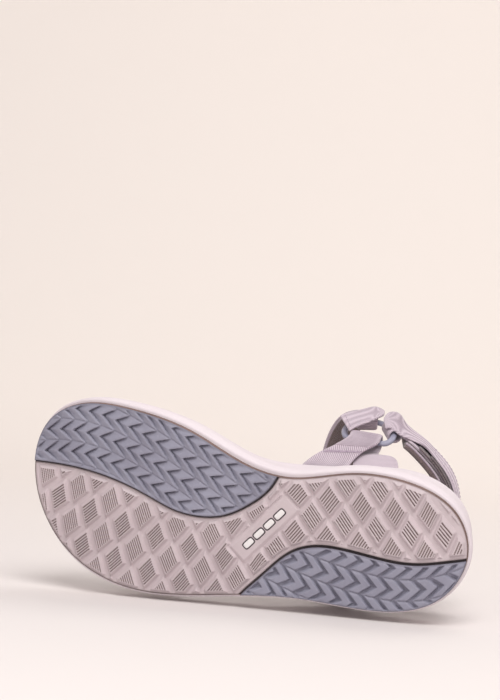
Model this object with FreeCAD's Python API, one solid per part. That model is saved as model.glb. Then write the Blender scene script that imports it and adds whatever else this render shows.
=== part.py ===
import FreeCAD, Part
import math
import os

# Women's strappy sport sandal for the right foot, in millimetres.
# +Z is up, -Y points to the toe, +X is the medial (inner) side of the foot.
# The origin is the bottom centre of the whole sandal's box: the lug tops stand on z = 0.

V = FreeCAD.Vector

# Driving dimensions -------------------------------------------------------
LUG_DEPTH = 2.2            # depth of the channels between the outsole lugs
OUTSOLE_THICK = 4.5        # lug tops to the top of the rubber plate
TOE_SPRING_START = -50.0   # y where the sole begins to curve up to the toe
TOE_SPRING_RADIUS = 325.0
HEEL_BEVEL_START = 102.0   # y where the sole begins to curve up at the heel
HEEL_BEVEL_RADIUS = 110.0
LIP_HEIGHT = 9.0           # height of the widest line of the midsole wall
RECESS_DEPTH = 4.5         # from the midsole rim down to the footbed's seat
FOOTBED_THICK = 3.0
TOPCOVER_THICK = 1.1
FOOTBED_INSET = -4.0       # from the rim line inwards
WEBBING = 1.6              # thickness of the woven webbing
TAPE = 0.9                 # thickness of a hook or loop tape
LAYER_GAP = 0.1            # between sewn layers
RING_RADIUS = 14.0         # centre line of the D-ring's round part
RING_TUBE = 1.6            # radius of the D-ring's section
RING_BAR = -8.5            # the straight bar, below the ring's centre
RING_CORNER = 3.5          # centre-line radius of the D-ring's corners
RING_LEAN = 18.0           # degrees that the ring leans outwards
LOOP_GAP = 3.3             # from the ring's centre line to the inside of a strap loop
TAB_START = 1.2            # gap along the webbing between a loop and the free tab
RING_X, RING_Y, RING_Z = 47.0, 54.0, 62.5
CENTRE_X = 0.91            # brings the middle of the whole sandal onto x = 0
CENTRE_Y = -0.53

# Sole outline: x, y, how far the midsole lip stands out, how far its rim does.
OUTLINE = [
    (12.0, -126.3, 0.8, 0.5),
    (36.0, -119.0, 1.2, 0.0),
    (48.8, -100.0, 2.0, -0.5),
    (51.3, -74.0, 2.5, -1.0),
    (44.0, -33.0, 3.0, 0.5),
    (31.0, 0.0, 3.6, 1.2),
    (28.5, 24.0, 3.6, 2.4),
    (36.5, 56.0, 2.8, -1.2),
    (37.8, 86.0, 2.8, 0.3),
    (26.0, 116.0, 2.2, -0.5),
    (1.0, 126.3, 1.6, -1.5),
    (-24.0, 114.5, 2.0, 0.0),
    (-36.3, 84.0, 2.5, 0.0),
    (-38.0, 38.0, 2.5, 0.5),
    (-47.0, -18.0, 2.5, 0.0),
    (-51.3, -54.0, 2.5, -1.0),
    (-43.0, -90.0, 2.2, -1.0),
    (-22.0, -115.0, 1.2, -0.5),
]
# Height of the midsole's rim along the foot: y, z.
RIM_PROFILE = [(-140, 27), (-100, 21.5), (-50, 20.5), (0, 25.5), (40, 29.5), (90, 31), (140, 34)]
# Seams of the two firm rubber inserts: x, y.
FOREFOOT_SEAM = [(8, -140), (11.5, -112), (11.8, -95), (9.5, -75), (4, -55), (-1.5, -38),
                 (-2.4, -27), (0.5, -11), (10, 4), (20, 13.5), (40, 21)]
HEEL_SEAM = [(-56, -4), (-41, 5), (-32.5, 12), (-22.8, 20), (-12, 31), (-7, 43),
             (-6, 58), (-7.5, 80), (-7.2, 97), (-3.5, 113), (4, 140)]


# Small tools --------------------------------------------------------------
def move_by(shape, x=0.0, y=0.0, z=0.0):
    moved = shape.copy()
    moved.translate(V(x, y, z))
    return moved


def spline(points):
    curve = Part.BSplineCurve()
    curve.interpolate(points)
    return curve


def offset_outline(column=None, inset=0.0):
    """Outline points moved out by a column of OUTLINE plus a constant."""
    moved = []
    count = len(OUTLINE)
    for index, row in enumerate(OUTLINE):
        before = OUTLINE[index - 1]
        after = OUTLINE[(index + 1) % count]
        along = V(after[0] - before[0], after[1] - before[1], 0).normalize()
        outward = V(-along.y, along.x, 0)
        if outward.dot(V(row[0], row[1] * 0.3, 0)) < 0:
            outward = outward * -1
        distance = inset + (row[column] if column else 0.0)
        moved.append(V(row[0], row[1], 0) + outward * distance)
    return moved


def outline_wire(points, z):
    """Closed smooth outline; every level has the same parameters, so lofts stay fair."""
    base = [V(row[0], row[1], 0) for row in OUTLINE]
    steps = [0.0]
    for before, after in zip(base, base[1:] + base[:1]):
        steps.append(steps[-1] + before.distanceToPoint(after))
    curve = Part.BSplineCurve()
    curve.interpolate(Points=[V(p.x, p.y, z) for p in points], Parameters=steps, PeriodicFlag=True)
    return Part.Wire(curve.toShape())


def prism(wire, height):
    return Part.Face(wire).extrude(V(0, 0, height))


def across(wire_points_or_edges):
    """Extrude a closed wire in the YZ plane right across the sandal."""
    face = Part.Face(Part.Wire(wire_points_or_edges))
    return move_by(face.extrude(V(180, 0, 0)), x=-90)


def line(a, b):
    return Part.LineSegment(a, b).toShape()


def above_ground(height, top=60.0):
    """Everything higher than a line parallel to the curved ground line of the sole."""
    toe = TOE_SPRING_RADIUS - height
    heel = HEEL_BEVEL_RADIUS - height

    def toe_point(angle):
        return V(0, TOE_SPRING_START - toe * math.sin(angle), TOE_SPRING_RADIUS - toe * math.cos(angle))

    def heel_point(angle):
        return V(0, HEEL_BEVEL_START + heel * math.sin(angle), HEEL_BEVEL_RADIUS - heel * math.cos(angle))

    toe_tip, toe_mid = toe_point(0.32), toe_point(0.16)
    heel_tip, heel_mid = heel_point(0.4), heel_point(0.2)
    toe_start = V(0, TOE_SPRING_START, height)
    heel_start = V(0, HEEL_BEVEL_START, height)
    toe_top = V(0, toe_tip.y, top)
    heel_top = V(0, heel_tip.y, top)
    return across([
        Part.Arc(toe_tip, toe_mid, toe_start).toShape(),
        line(toe_start, heel_start),
        Part.Arc(heel_start, heel_mid, heel_tip).toShape(),
        line(heel_tip, heel_top),
        line(heel_top, toe_top),
        line(toe_top, toe_tip),
    ])


def below_rim(drop):
    """Everything lower than the rim's height line, moved down by drop."""
    points = [V(0, y, z - drop) for y, z in RIM_PROFILE]
    floor_a, floor_b = V(0, 140, -10), V(0, -140, -10)
    return across([
        spline(points).toShape(),
        line(points[-1], floor_a),
        line(floor_a, floor_b),
        line(floor_b, points[0]),
    ])


# Outsole ------------------------------------------------------------------
def seam_region(seam, side):
    """Tall block on one side of a seam, side +1 for medial and -1 for lateral."""
    points = [V(x, y, -5) for x, y in seam]
    far_a = V(side * 90, points[-1].y, -5)
    far_b = V(side * 90, points[0].y, -5)
    wire = Part.Wire([
        spline(points).toShape(),
        line(points[-1], far_a),
        line(far_a, far_b),
        line(far_b, points[0]),
    ])
    return prism(wire, 40)


def lug(points):
    """Tall block over a closed plan outline."""
    corners = [V(x, y, -8) for x, y in points]
    return prism(Part.makePolygon(corners + [corners[0]]), 40)


DIAMOND_SHARE = 0.86       # a lug's share of its lattice cell, each way
# Lattices of the diamond lugs: one lug's place, then the steps to its neighbours, as x, y.
FOREFOOT_LATTICE = ((-18.0, -47.5), (-12.0, 8.8), (9.0, 11.4))
HEEL_LATTICE = ((20.3, 66.0), (-11.2, 9.9), (11.0, 8.4))
LATTICE_CHANGE = 14.0      # y where one lattice takes over from the other
CHEVRON_ARM = 6.8          # how far a chevron's arms trail its point
PAD_DEPTH = 1.0            # how far the smooth badge pad lies below the lug tops
FOREFOOT_CHEVRONS = (8.3, 5.4, 12.4)    # pitch along the foot, lug length, spacing of the rows
HEEL_CHEVRONS = (9.1, 6.2, 12.3)


def forefoot_bend(y):
    """Sideways bend of the forefoot's diamond rows."""
    return 0.00083 * (y + 55) ** 2


def heel_bend(y):
    return 0.0022 * max(y - 70, 0) ** 2


def forefoot_row(y):
    """Middle line of a row of chevrons in the forefoot insert."""
    return 33.2 - 20.8 * (math.hypot(1, (y + 97) / 40) - 1)


def heel_row(y):
    return -23.2 + (0.0078 if y > 84 else 0.0027) * (y - 84) ** 2


def diamond_lugs(lattice, bend, first_y, last_y):
    """Diamond lugs on a bent lattice, for the stretch of the foot between two values of y."""
    origin, step_a, step_b = (V(x, y, 0) for x, y in lattice)
    half = DIAMOND_SHARE / 2
    lugs = []
    for a in range(-9, 10):
        for b in range(-9, 10):
            centre = origin + step_a * a + step_b * b
            if abs(centre.x) < 66 and first_y < centre.y < last_y:
                corners = [centre + step_a * i * half + step_b * j * half
                           for i, j in ((-1, -1), (1, -1), (1, 1), (-1, 1))]
                lugs.append(lug([(p.x + bend(p.y), p.y) for p in corners]))
    return lugs


def chevron_lugs(sizes, row_line, rows, direction, first_y, last_y):
    """V-shaped lugs along bent rows; direction is -1 where they point to the toe."""
    pitch, length, spacing = sizes
    reach = spacing / 2 - 0.5
    arm = -direction * CHEVRON_ARM
    back = -direction * length
    lugs = []
    for row in rows:
        for index in range(int((last_y - first_y) / pitch)):
            y = first_y + index * pitch
            corners = [(-reach, y + arm), (0, y), (reach, y + arm),
                       (reach, y + arm + back), (0, y + back), (-reach, y + arm + back)]
            lugs.append(lug([(row_line(v) + row * spacing + u, v) for u, v in corners]))
    return lugs


def treaded(region, lugs, keep_out=None):
    """Rubber backing of a region with the lugs that lie inside it, standing on z = 0."""
    backing = region.cut(above_ground(-1).cut(above_ground(LUG_DEPTH)))
    layer = region.cut(above_ground(LUG_DEPTH))
    if keep_out:
        pad = layer.common(keep_out).common(above_ground(PAD_DEPTH))
        layer = layer.cut(keep_out)
        lugs = Part.Compound(lugs).common(layer)
        return backing.fuse([pad] + lugs.Solids).removeSplitter()
    lugs = Part.Compound(lugs).common(layer)
    return backing.fuse(lugs.Solids).removeSplitter()


def make_outsole():
    plate = prism(outline_wire(offset_outline(), -5), 50)
    plate = plate.common(above_ground(0)).cut(above_ground(OUTSOLE_THICK))
    forefoot = seam_region(FOREFOOT_SEAM, 1)
    heel = seam_region(HEEL_SEAM, -1)
    badge_pad, badge = make_badge()
    diamonds = diamond_lugs(FOREFOOT_LATTICE, forefoot_bend, -140, LATTICE_CHANGE)
    diamonds += diamond_lugs(HEEL_LATTICE, heel_bend, LATTICE_CHANGE, 140)
    toe_chevrons = chevron_lugs(FOREFOOT_CHEVRONS, forefoot_row, range(-3, 5), -1, -141.7, 30)
    heel_chevrons = chevron_lugs(HEEL_CHEVRONS, heel_row, range(-3, 4), 1, -5, 150)
    return {
        "outsole_base": treaded(plate.cut([forefoot, heel]), diamonds, badge_pad).cut(badge),
        "outsole_forefoot_insert": treaded(plate.common(forefoot), toe_chevrons),
        "outsole_heel_insert": treaded(plate.common(heel), heel_chevrons),
        "outsole_badge": badge,
    }


def make_badge():
    """Smooth diagonal pad in the waist of the outsole, and the inlay of dashes on it."""
    pad = Part.makeBox(44, 11, 30, V(-22, -5.5, -8))
    dashes = []
    for index in range(4):
        dashes.append(Part.makeBox(6.4, 3.2, 1.2, V(-15.7 + index * 8.2, -1.6, PAD_DEPTH - 0.5)))
    inlay = Part.Compound(dashes)
    for shape in (pad, inlay):
        shape.rotate(V(0, 0, 0), V(0, 0, 1), 38.5)
        shape.translate(V(-2.2, 13.5, 0))
    return pad, inlay


# Midsole and footbed ------------------------------------------------------
def make_midsole():
    levels = [
        (-2.0, 2, -2.0),
        (OUTSOLE_THICK, 2, -0.9),
        (LIP_HEIGHT, 2, 0.0),
        (17.0, 2, -1.2),
        (27.0, 3, 0.0),
        (46.0, 3, -0.6),
    ]
    wires = [outline_wire(offset_outline(column, inset), z) for z, column, inset in levels]
    body = Part.makeLoft(wires, True, False)
    body = body.common(above_ground(OUTSOLE_THICK)).common(below_rim(0))
    recess = prism(outline_wire(offset_outline(3, FOOTBED_INSET), 0), 60).cut(below_rim(RECESS_DEPTH))
    body = body.cut(recess)
    seat = prism(outline_wire(offset_outline(3, FOOTBED_INSET - 0.15), 0), 60)
    footbed = seat.common(below_rim(RECESS_DEPTH - FOOTBED_THICK)).cut(below_rim(RECESS_DEPTH))
    cover = seat.common(below_rim(RECESS_DEPTH - FOOTBED_THICK - TOPCOVER_THICK))
    cover = cover.cut(below_rim(RECESS_DEPTH - FOOTBED_THICK))
    return body, footbed, cover


# Webbing ------------------------------------------------------------------
class Station:
    """One cross line of a band: its two edges and its outward normal."""

    def __init__(self, edge_a, edge_b, normal):
        self.edge_a = edge_a
        self.edge_b = edge_b
        self.normal = normal

    def moved(self, distance, trim_a=0.0, trim_b=0.0, turn=1):
        """The same line moved along its normal and trimmed; turn -1 flips the normal."""
        width = (self.edge_b - self.edge_a).normalize()
        shift = self.normal * distance
        return Station(self.edge_a + width * trim_a + shift, self.edge_b - width * trim_b + shift,
                       self.normal * turn)


def guide_stations(edge_a, edge_b, count, outward):
    """Stations between two hand-drawn edges; outward(point) tells the outer side half way."""
    middles = [(a + b) * 0.5 for a, b in zip(edge_a, edge_b)]
    steps = [0.0]
    for before, after in zip(middles, middles[1:]):
        steps.append(steps[-1] + before.distanceToPoint(after))
    steps = [step / steps[-1] for step in steps]
    curves = []
    for points in (edge_a, edge_b):
        curve = Part.BSplineCurve()
        curve.interpolate(Points=points, Parameters=steps)
        curves.append(curve)
    stations = []
    for index in range(count):
        u = index / (count - 1)
        a, b = (curve.value(u) for curve in curves)
        along = (curves[0].tangent(u)[0] + curves[1].tangent(u)[0]).normalize()
        stations.append(Station(a, b, along.cross(b - a).normalize()))
    middle = stations[count // 2]
    if middle.normal.dot(outward((middle.edge_a + middle.edge_b) * 0.5)) < 0:
        stations = [station.moved(0, turn=-1) for station in stations]
    return stations


def band(stations, low, high, trim_a=0.0, trim_b=0.0):
    """Solid band from offset low to offset high, with its edges trimmed or widened."""
    wires = []
    for station in stations:
        inner = station.moved(low, trim_a, trim_b)
        outer = station.moved(high, trim_a, trim_b)
        corners = [inner.edge_a, inner.edge_b, outer.edge_b, outer.edge_a]
        wires.append(Part.makePolygon(corners + [corners[0]]))
    solid = Part.makeLoft(wires, True, True)
    if solid.Volume < 0:
        solid.reverse()
    return solid


# Rings --------------------------------------------------------------------
LEAN = math.radians(RING_LEAN)
REAR = V(0, 1, 0)


class RingFrame:
    """Directions of one D-ring; side is +1 for medial and -1 for lateral."""

    def __init__(self, side):
        self.side = side
        self.centre = V(side * RING_X, RING_Y, RING_Z)
        self.up = V(side * math.sin(LEAN), 0, math.cos(LEAN))
        self.out = V(side * math.cos(LEAN), 0, -math.sin(LEAN))

    def at(self, rear, up, out=0.0):
        return self.centre + REAR * rear + self.up * up + self.out * out

    def radial(self, angle):
        return REAR * math.cos(math.radians(angle)) + self.up * math.sin(math.radians(angle))

    def tangent(self, angle):
        return self.up * math.cos(math.radians(angle)) - REAR * math.sin(math.radians(angle))


def make_ring(frame):
    """D-ring: a round upper part closed by a straight bar, with rounded corners."""
    corner_up = RING_BAR + RING_CORNER
    reach = math.sqrt((RING_RADIUS - RING_CORNER) ** 2 - corner_up ** 2)
    join = math.degrees(math.atan2(corner_up, reach))

    def arc_point(angle):
        return frame.centre + frame.radial(angle) * RING_RADIUS

    def corner_point(side, angle):
        direction = math.radians(angle)
        return frame.at(side * (reach + RING_CORNER * math.cos(direction)),
                        corner_up + RING_CORNER * math.sin(direction))

    middle = (join - 90) / 2
    edges = [
        Part.Arc(arc_point(join), arc_point(90), arc_point(180 - join)).toShape(),
        Part.Arc(corner_point(-1, join), corner_point(-1, middle), corner_point(-1, -90)).toShape(),
        line(corner_point(-1, -90), corner_point(1, -90)),
        Part.Arc(corner_point(1, -90), corner_point(1, middle), corner_point(1, join)).toShape(),
    ]
    path = Part.Wire(edges)
    section = Part.Wire(Part.Circle(arc_point(join), frame.tangent(join), RING_TUBE).toShape())
    return path.makePipeShell([section], True, False)


def hairpin(frame, tube_centre, radial, tangent, width, turns=9):
    """Stations round the ring's section, from the outer side through the hole to the inner side."""
    stations = []
    for index in range(turns):
        angle = math.pi * index / (turns - 1)
        normal = frame.out * math.cos(angle) - radial * math.sin(angle)
        middle = tube_centre + normal * LOOP_GAP
        stations.append(Station(middle - tangent * width / 2, middle + tangent * width / 2, normal))
    return stations


# Side straps --------------------------------------------------------------
BAR_LOOP_WIDTH = 18.0
TAIL_Z = 14.0              # lower end of the tails buried in the midsole
SIDE_BASES = {             # front leg then rear leg, each leg's toe-side and heel-side edge
    1: (((28.4, 24), (32.0, 50)), ((31.0, 54), (34.6, 76))),
    -1: (((-36.6, 24), (-35.4, 50)), ((-33.2, 54), (-32.0, 76))),
}


def make_side_strap(frame):
    """One webbing: up from its slot in front, through the ring's bar and down behind."""
    side = frame.side
    front_base, rear_base = SIDE_BASES[side]
    half = BAR_LOOP_WIDTH / 2

    def leg(base, high, gap):
        """Edges of one leg from the buried tail to the loop; base and high are (x, y) pairs."""
        edges = []
        for (x, y), (high_x, high_y, high_z), rear in zip(base, high, (-half, half)):
            edges.append([V(x, y, TAIL_Z), V(x, y, 24), V(x + side * 0.4, y, 31),
                          V(side * high_x, high_y, high_z),
                          frame.at(rear, RING_BAR - 6, gap), frame.at(rear, RING_BAR - 1.5, gap)])
        return edges

    front_a, front_b = leg(front_base, ((37.5, 33, 41), (40.5, 56, 42)), LOOP_GAP)
    rear_a, rear_b = leg(rear_base, ((36.2, 52, 42), (39.8, 71.5, 42)), -LOOP_GAP)
    loop = hairpin(frame, frame.at(0, RING_BAR), frame.up * -1, REAR, BAR_LOOP_WIDTH)
    front = guide_stations(front_a, front_b, 17, lambda point: V(side, 0, -0.2))
    rear = guide_stations(rear_a[::-1], rear_b[::-1], 17, lambda point: V(-side, 0, 0.2))
    return band(front + loop + rear, 0, WEBBING), front, rear


def make_bartacks(straps):
    """Dense bars of stitching across the side straps, just above the midsole."""
    bars = []
    for front, rear in straps:
        for leg in (front[9:11], rear[5:7]):
            bars.append(band(leg, WEBBING + 0.02, WEBBING + 0.5, 2.0, 2.0))
    return Part.Compound(bars)


# Straps that run from ring to ring ----------------------------------------
def mirrored(points):
    return [V(-p.x, p.y, p.z) for p in reversed(points)]


def both_sides(half):
    """Edge points of a whole strap from the medial half, whose last point is on x = 0."""
    first = [V(*pair[0]) for pair in half]
    second = [V(*pair[1]) for pair in half]
    return first + mirrored(first[:-1]), second + mirrored(second[:-1])


def ring_loop(frame, angle, width, turn=1):
    """Stations of a strap's loop round the ring's arc, outer side first."""
    radial = frame.radial(angle)
    tube = frame.centre + radial * RING_RADIUS
    return hairpin(frame, tube, radial, frame.tangent(angle) * turn, width)


def sewn_end(loop, body):
    """A loop whose outer leg comes back and is sewn down on the band."""
    tail = [station.moved(WEBBING + LAYER_GAP) for station in body[1:5]]
    return tail[::-1] + loop


def ring_to_ring(medial_loop, body, lateral_loop):
    """Webbing with a loop at each end; the loops' inner legs run on as the body."""
    inner = [station.moved(WEBBING, turn=-1) for station in body]
    return band(medial_loop + inner + lateral_loop[::-1], 0, WEBBING)


def tab_stations(frame, loop, body, low):
    """A free tab that carries on from the loop's outer leg and lies on the band."""
    start = loop[0]
    middle = (start.edge_a + start.edge_b) * 0.5
    away = (middle - frame.centre).normalize() * TAB_START
    first = Station(start.edge_a + away, start.edge_b + away, start.normal)
    return [first] + [station.moved(low) for station in body]


# Heel strap ---------------------------------------------------------------
HEEL_LOOP_ANGLE = 30.0
HEEL_LOOP_WIDTH = 11.5
HEEL_HALF = [   # lower edge, upper edge, at the outer face of the pad
    ((46.6, 74.0, 62.0), (50.6, 64.5, 90.0)),
    ((45.0, 79.0, 59.8), (46.6, 72.8, 89.8)),
    ((40.0, 86.0, 58.8), (40.5, 80.2, 89.0)),
    ((32.5, 93.2, 58.5), (32.0, 88.3, 88.3)),
    ((23.5, 99.8, 58.5), (23.5, 95.6, 88.0)),
    ((12.5, 104.4, 58.5), (12.5, 100.8, 88.0)),
    ((0.0, 106.0, 58.5), (0.0, 102.4, 88.0)),
]


def from_ankle(point):
    return V(point.x, point.y - 62, 0)


def make_heel(medial, lateral):
    lower, upper = both_sides(HEEL_HALF)
    body = guide_stations(lower, upper, 45, from_ankle)
    webbing = [station.moved(0, 3.0, 1.2) for station in body]
    medial_loop, lateral_loop = (ring_loop(frame, HEEL_LOOP_ANGLE, HEEL_LOOP_WIDTH)
                                 for frame in (medial, lateral))
    tape_low = WEBBING + LAYER_GAP
    hook_low = tape_low + TAPE + LAYER_GAP
    tab_low = hook_low + TAPE + LAYER_GAP
    return {
        "heel_strap": ring_to_ring(medial_loop, webbing, sewn_end(lateral_loop, webbing[::-1])),
        "heel_strap_pad": band(body[1:-1], -4.2, -LAYER_GAP),
        "heel_loop_patch": band(body[4:24], tape_low, tape_low + TAPE, 1.6, 1.6),
        "heel_hook_patch": band(body[6:23], hook_low, hook_low + TAPE, 6.4, 2.2),
        "heel_strap_tab": band(tab_stations(medial, medial_loop, webbing[2:25], tab_low),
                               0, WEBBING, 0.4, 0.4),
    }


# Instep strap -------------------------------------------------------------
INSTEP_LOOP_ANGLE = 108.0
INSTEP_LOOP_WIDTH = 11.5
INSTEP_HALF = [   # toe-side edge, shin-side edge, at the inner face of the webbing
    ((50.4, 43.6, 79.0), (50.0, 54.0, 83.0)),
    ((53.2, 42.6, 84.6), (49.6, 52.5, 91.5)),
    ((52.2, 38.6, 88.2), (45.8, 47.5, 98.6)),
    ((48.4, 32.2, 91.2), (39.8, 41.2, 105.4)),
    ((40.5, 26.8, 95.0), (32.5, 37.0, 110.5)),
    ((29.5, 23.0, 98.5), (23.0, 37.6, 113.5)),
    ((15.0, 20.8, 100.6), (12.0, 39.5, 114.8)),
    ((0.0, 20.2, 101.2), (0.0, 40.2, 115.2)),
]


def from_instep(point):
    return V(point.x, -10, max(point.z - 84, 0))


def make_instep(medial, lateral):
    toe_side, shin_side = both_sides(INSTEP_HALF)
    body = guide_stations(toe_side, shin_side, 45, from_instep)
    medial_loop, lateral_loop = (ring_loop(frame, INSTEP_LOOP_ANGLE, INSTEP_LOOP_WIDTH, -1)
                                 for frame in (medial, lateral))
    tape_low = WEBBING + LAYER_GAP
    hook_low = tape_low + TAPE + LAYER_GAP
    tab_low = hook_low + TAPE + LAYER_GAP
    return {
        "instep_strap": ring_to_ring(sewn_end(medial_loop, body), body, lateral_loop),
        "instep_strap_lining": band(body[5:-5], -2.2, -LAYER_GAP, 0.5, 0.5),
        "instep_loop_patch": band(body[24:38], tape_low, tape_low + TAPE, 1.5, 1.5),
        "instep_hook_patch": band(body[25:36], hook_low, hook_low + TAPE, 2.2, 2.2),
        "instep_strap_tab": band(tab_stations(lateral, lateral_loop, body[42:22:-1], tab_low),
                                 0, WEBBING, 0.3, 0.3),
    }


# Forefoot strap -----------------------------------------------------------
FOREFOOT_EDGES = [   # toe-side edge, heel-side edge, from medial to lateral
    ((46.5, -80.0, 13.0), (44.5, -56.0, 13.0)),
    ((47.5, -79.5, 22.0), (45.0, -54.5, 22.0)),
    ((46.0, -78.0, 34.0), (43.5, -52.0, 36.0)),
    ((36.5, -75.0, 47.5), (34.5, -49.0, 52.0)),
    ((20.0, -71.0, 55.5), (19.0, -45.5, 61.5)),
    ((1.0, -67.0, 57.5), (0.5, -42.0, 63.5)),
    ((-18.0, -63.5, 53.5), (-18.0, -38.5, 59.0)),
    ((-34.0, -60.5, 43.5), (-33.0, -35.5, 48.0)),
    ((-43.5, -58.0, 31.0), (-41.5, -33.5, 34.0)),
    ((-46.5, -57.0, 22.0), (-43.5, -32.5, 22.0)),
    ((-46.0, -57.0, 13.0), (-43.0, -32.5, 13.0)),
]


def from_forefoot(point):
    return V(point.x, 0, point.z - 18)


def make_forefoot():
    toe_side = [V(*pair[0]) for pair in FOREFOOT_EDGES]
    heel_side = [V(*pair[1]) for pair in FOREFOOT_EDGES]
    body = guide_stations(toe_side, heel_side, 51, from_forefoot)
    tape_low = WEBBING + LAYER_GAP
    hook_low = tape_low + TAPE + LAYER_GAP
    flap_low = hook_low + TAPE + LAYER_GAP
    return {
        "forefoot_strap_base": band(body[:33], 0, WEBBING),
        "forefoot_strap_lining": band(body[6:45], -2.4, -LAYER_GAP, 0.5, 0.5),
        "forefoot_loop_patch": band(body[18:33], tape_low, tape_low + TAPE, 1.5, 1.5),
        "forefoot_hook_patch": band(body[19:31], hook_low, hook_low + TAPE, 2.0, 2.0),
        "forefoot_strap_anchor": band(body[44:], 0, WEBBING),
        "forefoot_strap_flap": band(body[17:44], flap_low, flap_low + WEBBING, 0.2, 0.2),
    }


# Strap slots --------------------------------------------------------------
BURIED = ["medial_side_strap", "lateral_side_strap", "forefoot_strap_base", "forefoot_strap_anchor"]


def cut_slots(parts):
    """Slots in the midsole and the footbed layers for the buried tails of the webbing."""
    tails = [parts[name] for name in BURIED]
    for name in ("midsole", "footbed", "footbed_topcover"):
        parts[name] = parts[name].cut(tails)


# Export -------------------------------------------------------------------
def main():
    os.makedirs("parts", exist_ok=True)
    medial, lateral = RingFrame(1), RingFrame(-1)
    parts = make_outsole()
    midsole, footbed, cover = make_midsole()
    parts["footbed"] = footbed
    parts["footbed_topcover"] = cover
    parts["midsole"] = midsole
    straps = []
    for name, frame in (("medial_side_strap", medial), ("lateral_side_strap", lateral)):
        parts[name], front, rear = make_side_strap(frame)
        straps.append((front, rear))
    parts["side_strap_bartacks"] = make_bartacks(straps)
    parts.update(make_heel(medial, lateral))
    parts.update(make_instep(medial, lateral))
    parts.update(make_forefoot())
    parts["medial_ring"] = make_ring(medial)
    parts["lateral_ring"] = make_ring(lateral)
    cut_slots(parts)
    for name, shape in parts.items():
        shape.translate(V(CENTRE_X, CENTRE_Y, 0))
        shape.exportStep("parts/" + name + ".step")
        print(name, shape.isValid(), len(shape.Solids), round(shape.Volume, 1), shape.BoundBox)


main()
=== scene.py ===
import itertools
import math

import bpy
import numpy as np
from mathutils import Matrix, Vector


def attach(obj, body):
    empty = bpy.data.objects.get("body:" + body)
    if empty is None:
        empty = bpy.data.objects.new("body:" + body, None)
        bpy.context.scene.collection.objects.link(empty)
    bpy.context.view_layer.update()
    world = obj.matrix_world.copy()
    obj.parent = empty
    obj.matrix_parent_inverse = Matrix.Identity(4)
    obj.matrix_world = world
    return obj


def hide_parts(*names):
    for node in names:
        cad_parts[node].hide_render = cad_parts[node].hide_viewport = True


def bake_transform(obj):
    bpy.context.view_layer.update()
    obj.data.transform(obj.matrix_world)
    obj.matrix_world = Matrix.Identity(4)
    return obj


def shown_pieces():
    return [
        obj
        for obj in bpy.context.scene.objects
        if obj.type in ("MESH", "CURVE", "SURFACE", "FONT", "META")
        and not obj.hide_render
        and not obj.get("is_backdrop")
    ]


# Right-foot strappy sport sandal. The sandal is in millimetres until make_mesh() writes metres; the
# backdrop, lights and camera are in metres.
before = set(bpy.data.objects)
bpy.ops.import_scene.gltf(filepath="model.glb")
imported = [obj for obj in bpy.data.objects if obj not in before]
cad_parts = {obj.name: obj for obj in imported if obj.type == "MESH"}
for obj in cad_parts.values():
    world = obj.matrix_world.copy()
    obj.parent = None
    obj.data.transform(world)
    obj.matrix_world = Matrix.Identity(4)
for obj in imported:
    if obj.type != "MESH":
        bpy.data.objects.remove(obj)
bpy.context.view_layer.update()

MM = 0.001
UV_SCALE = 0.01            # of a millimetre on the UV maps
SHIFT = np.array([0.91, -0.53, 0.0])      # from the sole's own centre to the frame's origin

# Driving dimensions, the same as the CAD's ------------------------------------
LUG_DEPTH = 2.2
OUTSOLE_THICK = 4.5
PAD_DEPTH = 1.0
TOE_START, TOE_RADIUS = -50.0, 325.0
HEEL_START, HEEL_RADIUS = 102.0, 110.0
RECESS_DEPTH = 4.5
COVER_TOP = 0.4            # from the rim down to the top cover
FOOTBED_INSET = -4.0
WEBBING = 1.6
TAPE = 0.9
LAYER_GAP = 0.1
RING_RADIUS, RING_BAR = 14.0, -8.5     # of the tube's middle: round part, and straight bar below
RING_CORNER, RING_ROUNDNESS = 3.5, 0.8
RING_LEAN = math.radians(18.0)
RING_CENTRE = (47.0, 54.0, 62.5)
RING_WIDE, RING_DEEP = 1.75, 1.4       # half sizes of the tube's section
LOOP_GAP = 3.3
TAB_START = 1.2

OUTLINE = [   # x, y, lip, rim
    (12.0, -126.3, 0.8, 0.5), (36.0, -119.0, 1.2, 0.0), (48.8, -100.0, 2.0, -0.5),
    (51.3, -74.0, 2.5, -1.0), (44.0, -33.0, 3.0, 0.5), (31.0, 0.0, 3.6, 1.2),
    (28.5, 24.0, 3.6, 2.4), (36.5, 56.0, 2.8, -1.2), (37.8, 86.0, 2.8, 0.3),
    (26.0, 116.0, 2.2, -0.5), (1.0, 126.3, 1.6, -1.5), (-24.0, 114.5, 2.0, 0.0),
    (-36.3, 84.0, 2.5, 0.0), (-38.0, 38.0, 2.5, 0.5), (-47.0, -18.0, 2.5, 0.0),
    (-51.3, -54.0, 2.5, -1.0), (-43.0, -90.0, 2.2, -1.0), (-22.0, -115.0, 1.2, -0.5),
]
RIM_PROFILE = [(-140, 27), (-100, 21.5), (-50, 20.5), (0, 25.5), (40, 29.5), (90, 31), (140, 34)]
FOREFOOT_SEAM = [(8, -140), (11.5, -112), (11.8, -95), (9.5, -75), (4, -55), (-1.5, -38),
                 (-2.4, -27), (0.5, -11), (10, 4), (20, 13.5), (40, 21)]
HEEL_SEAM = [(-56, -4), (-41, 5), (-32.5, 12), (-22.8, 20), (-12, 31), (-7, 43),
             (-6, 58), (-7.5, 80), (-7.2, 97), (-3.5, 113), (4, 140)]


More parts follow.
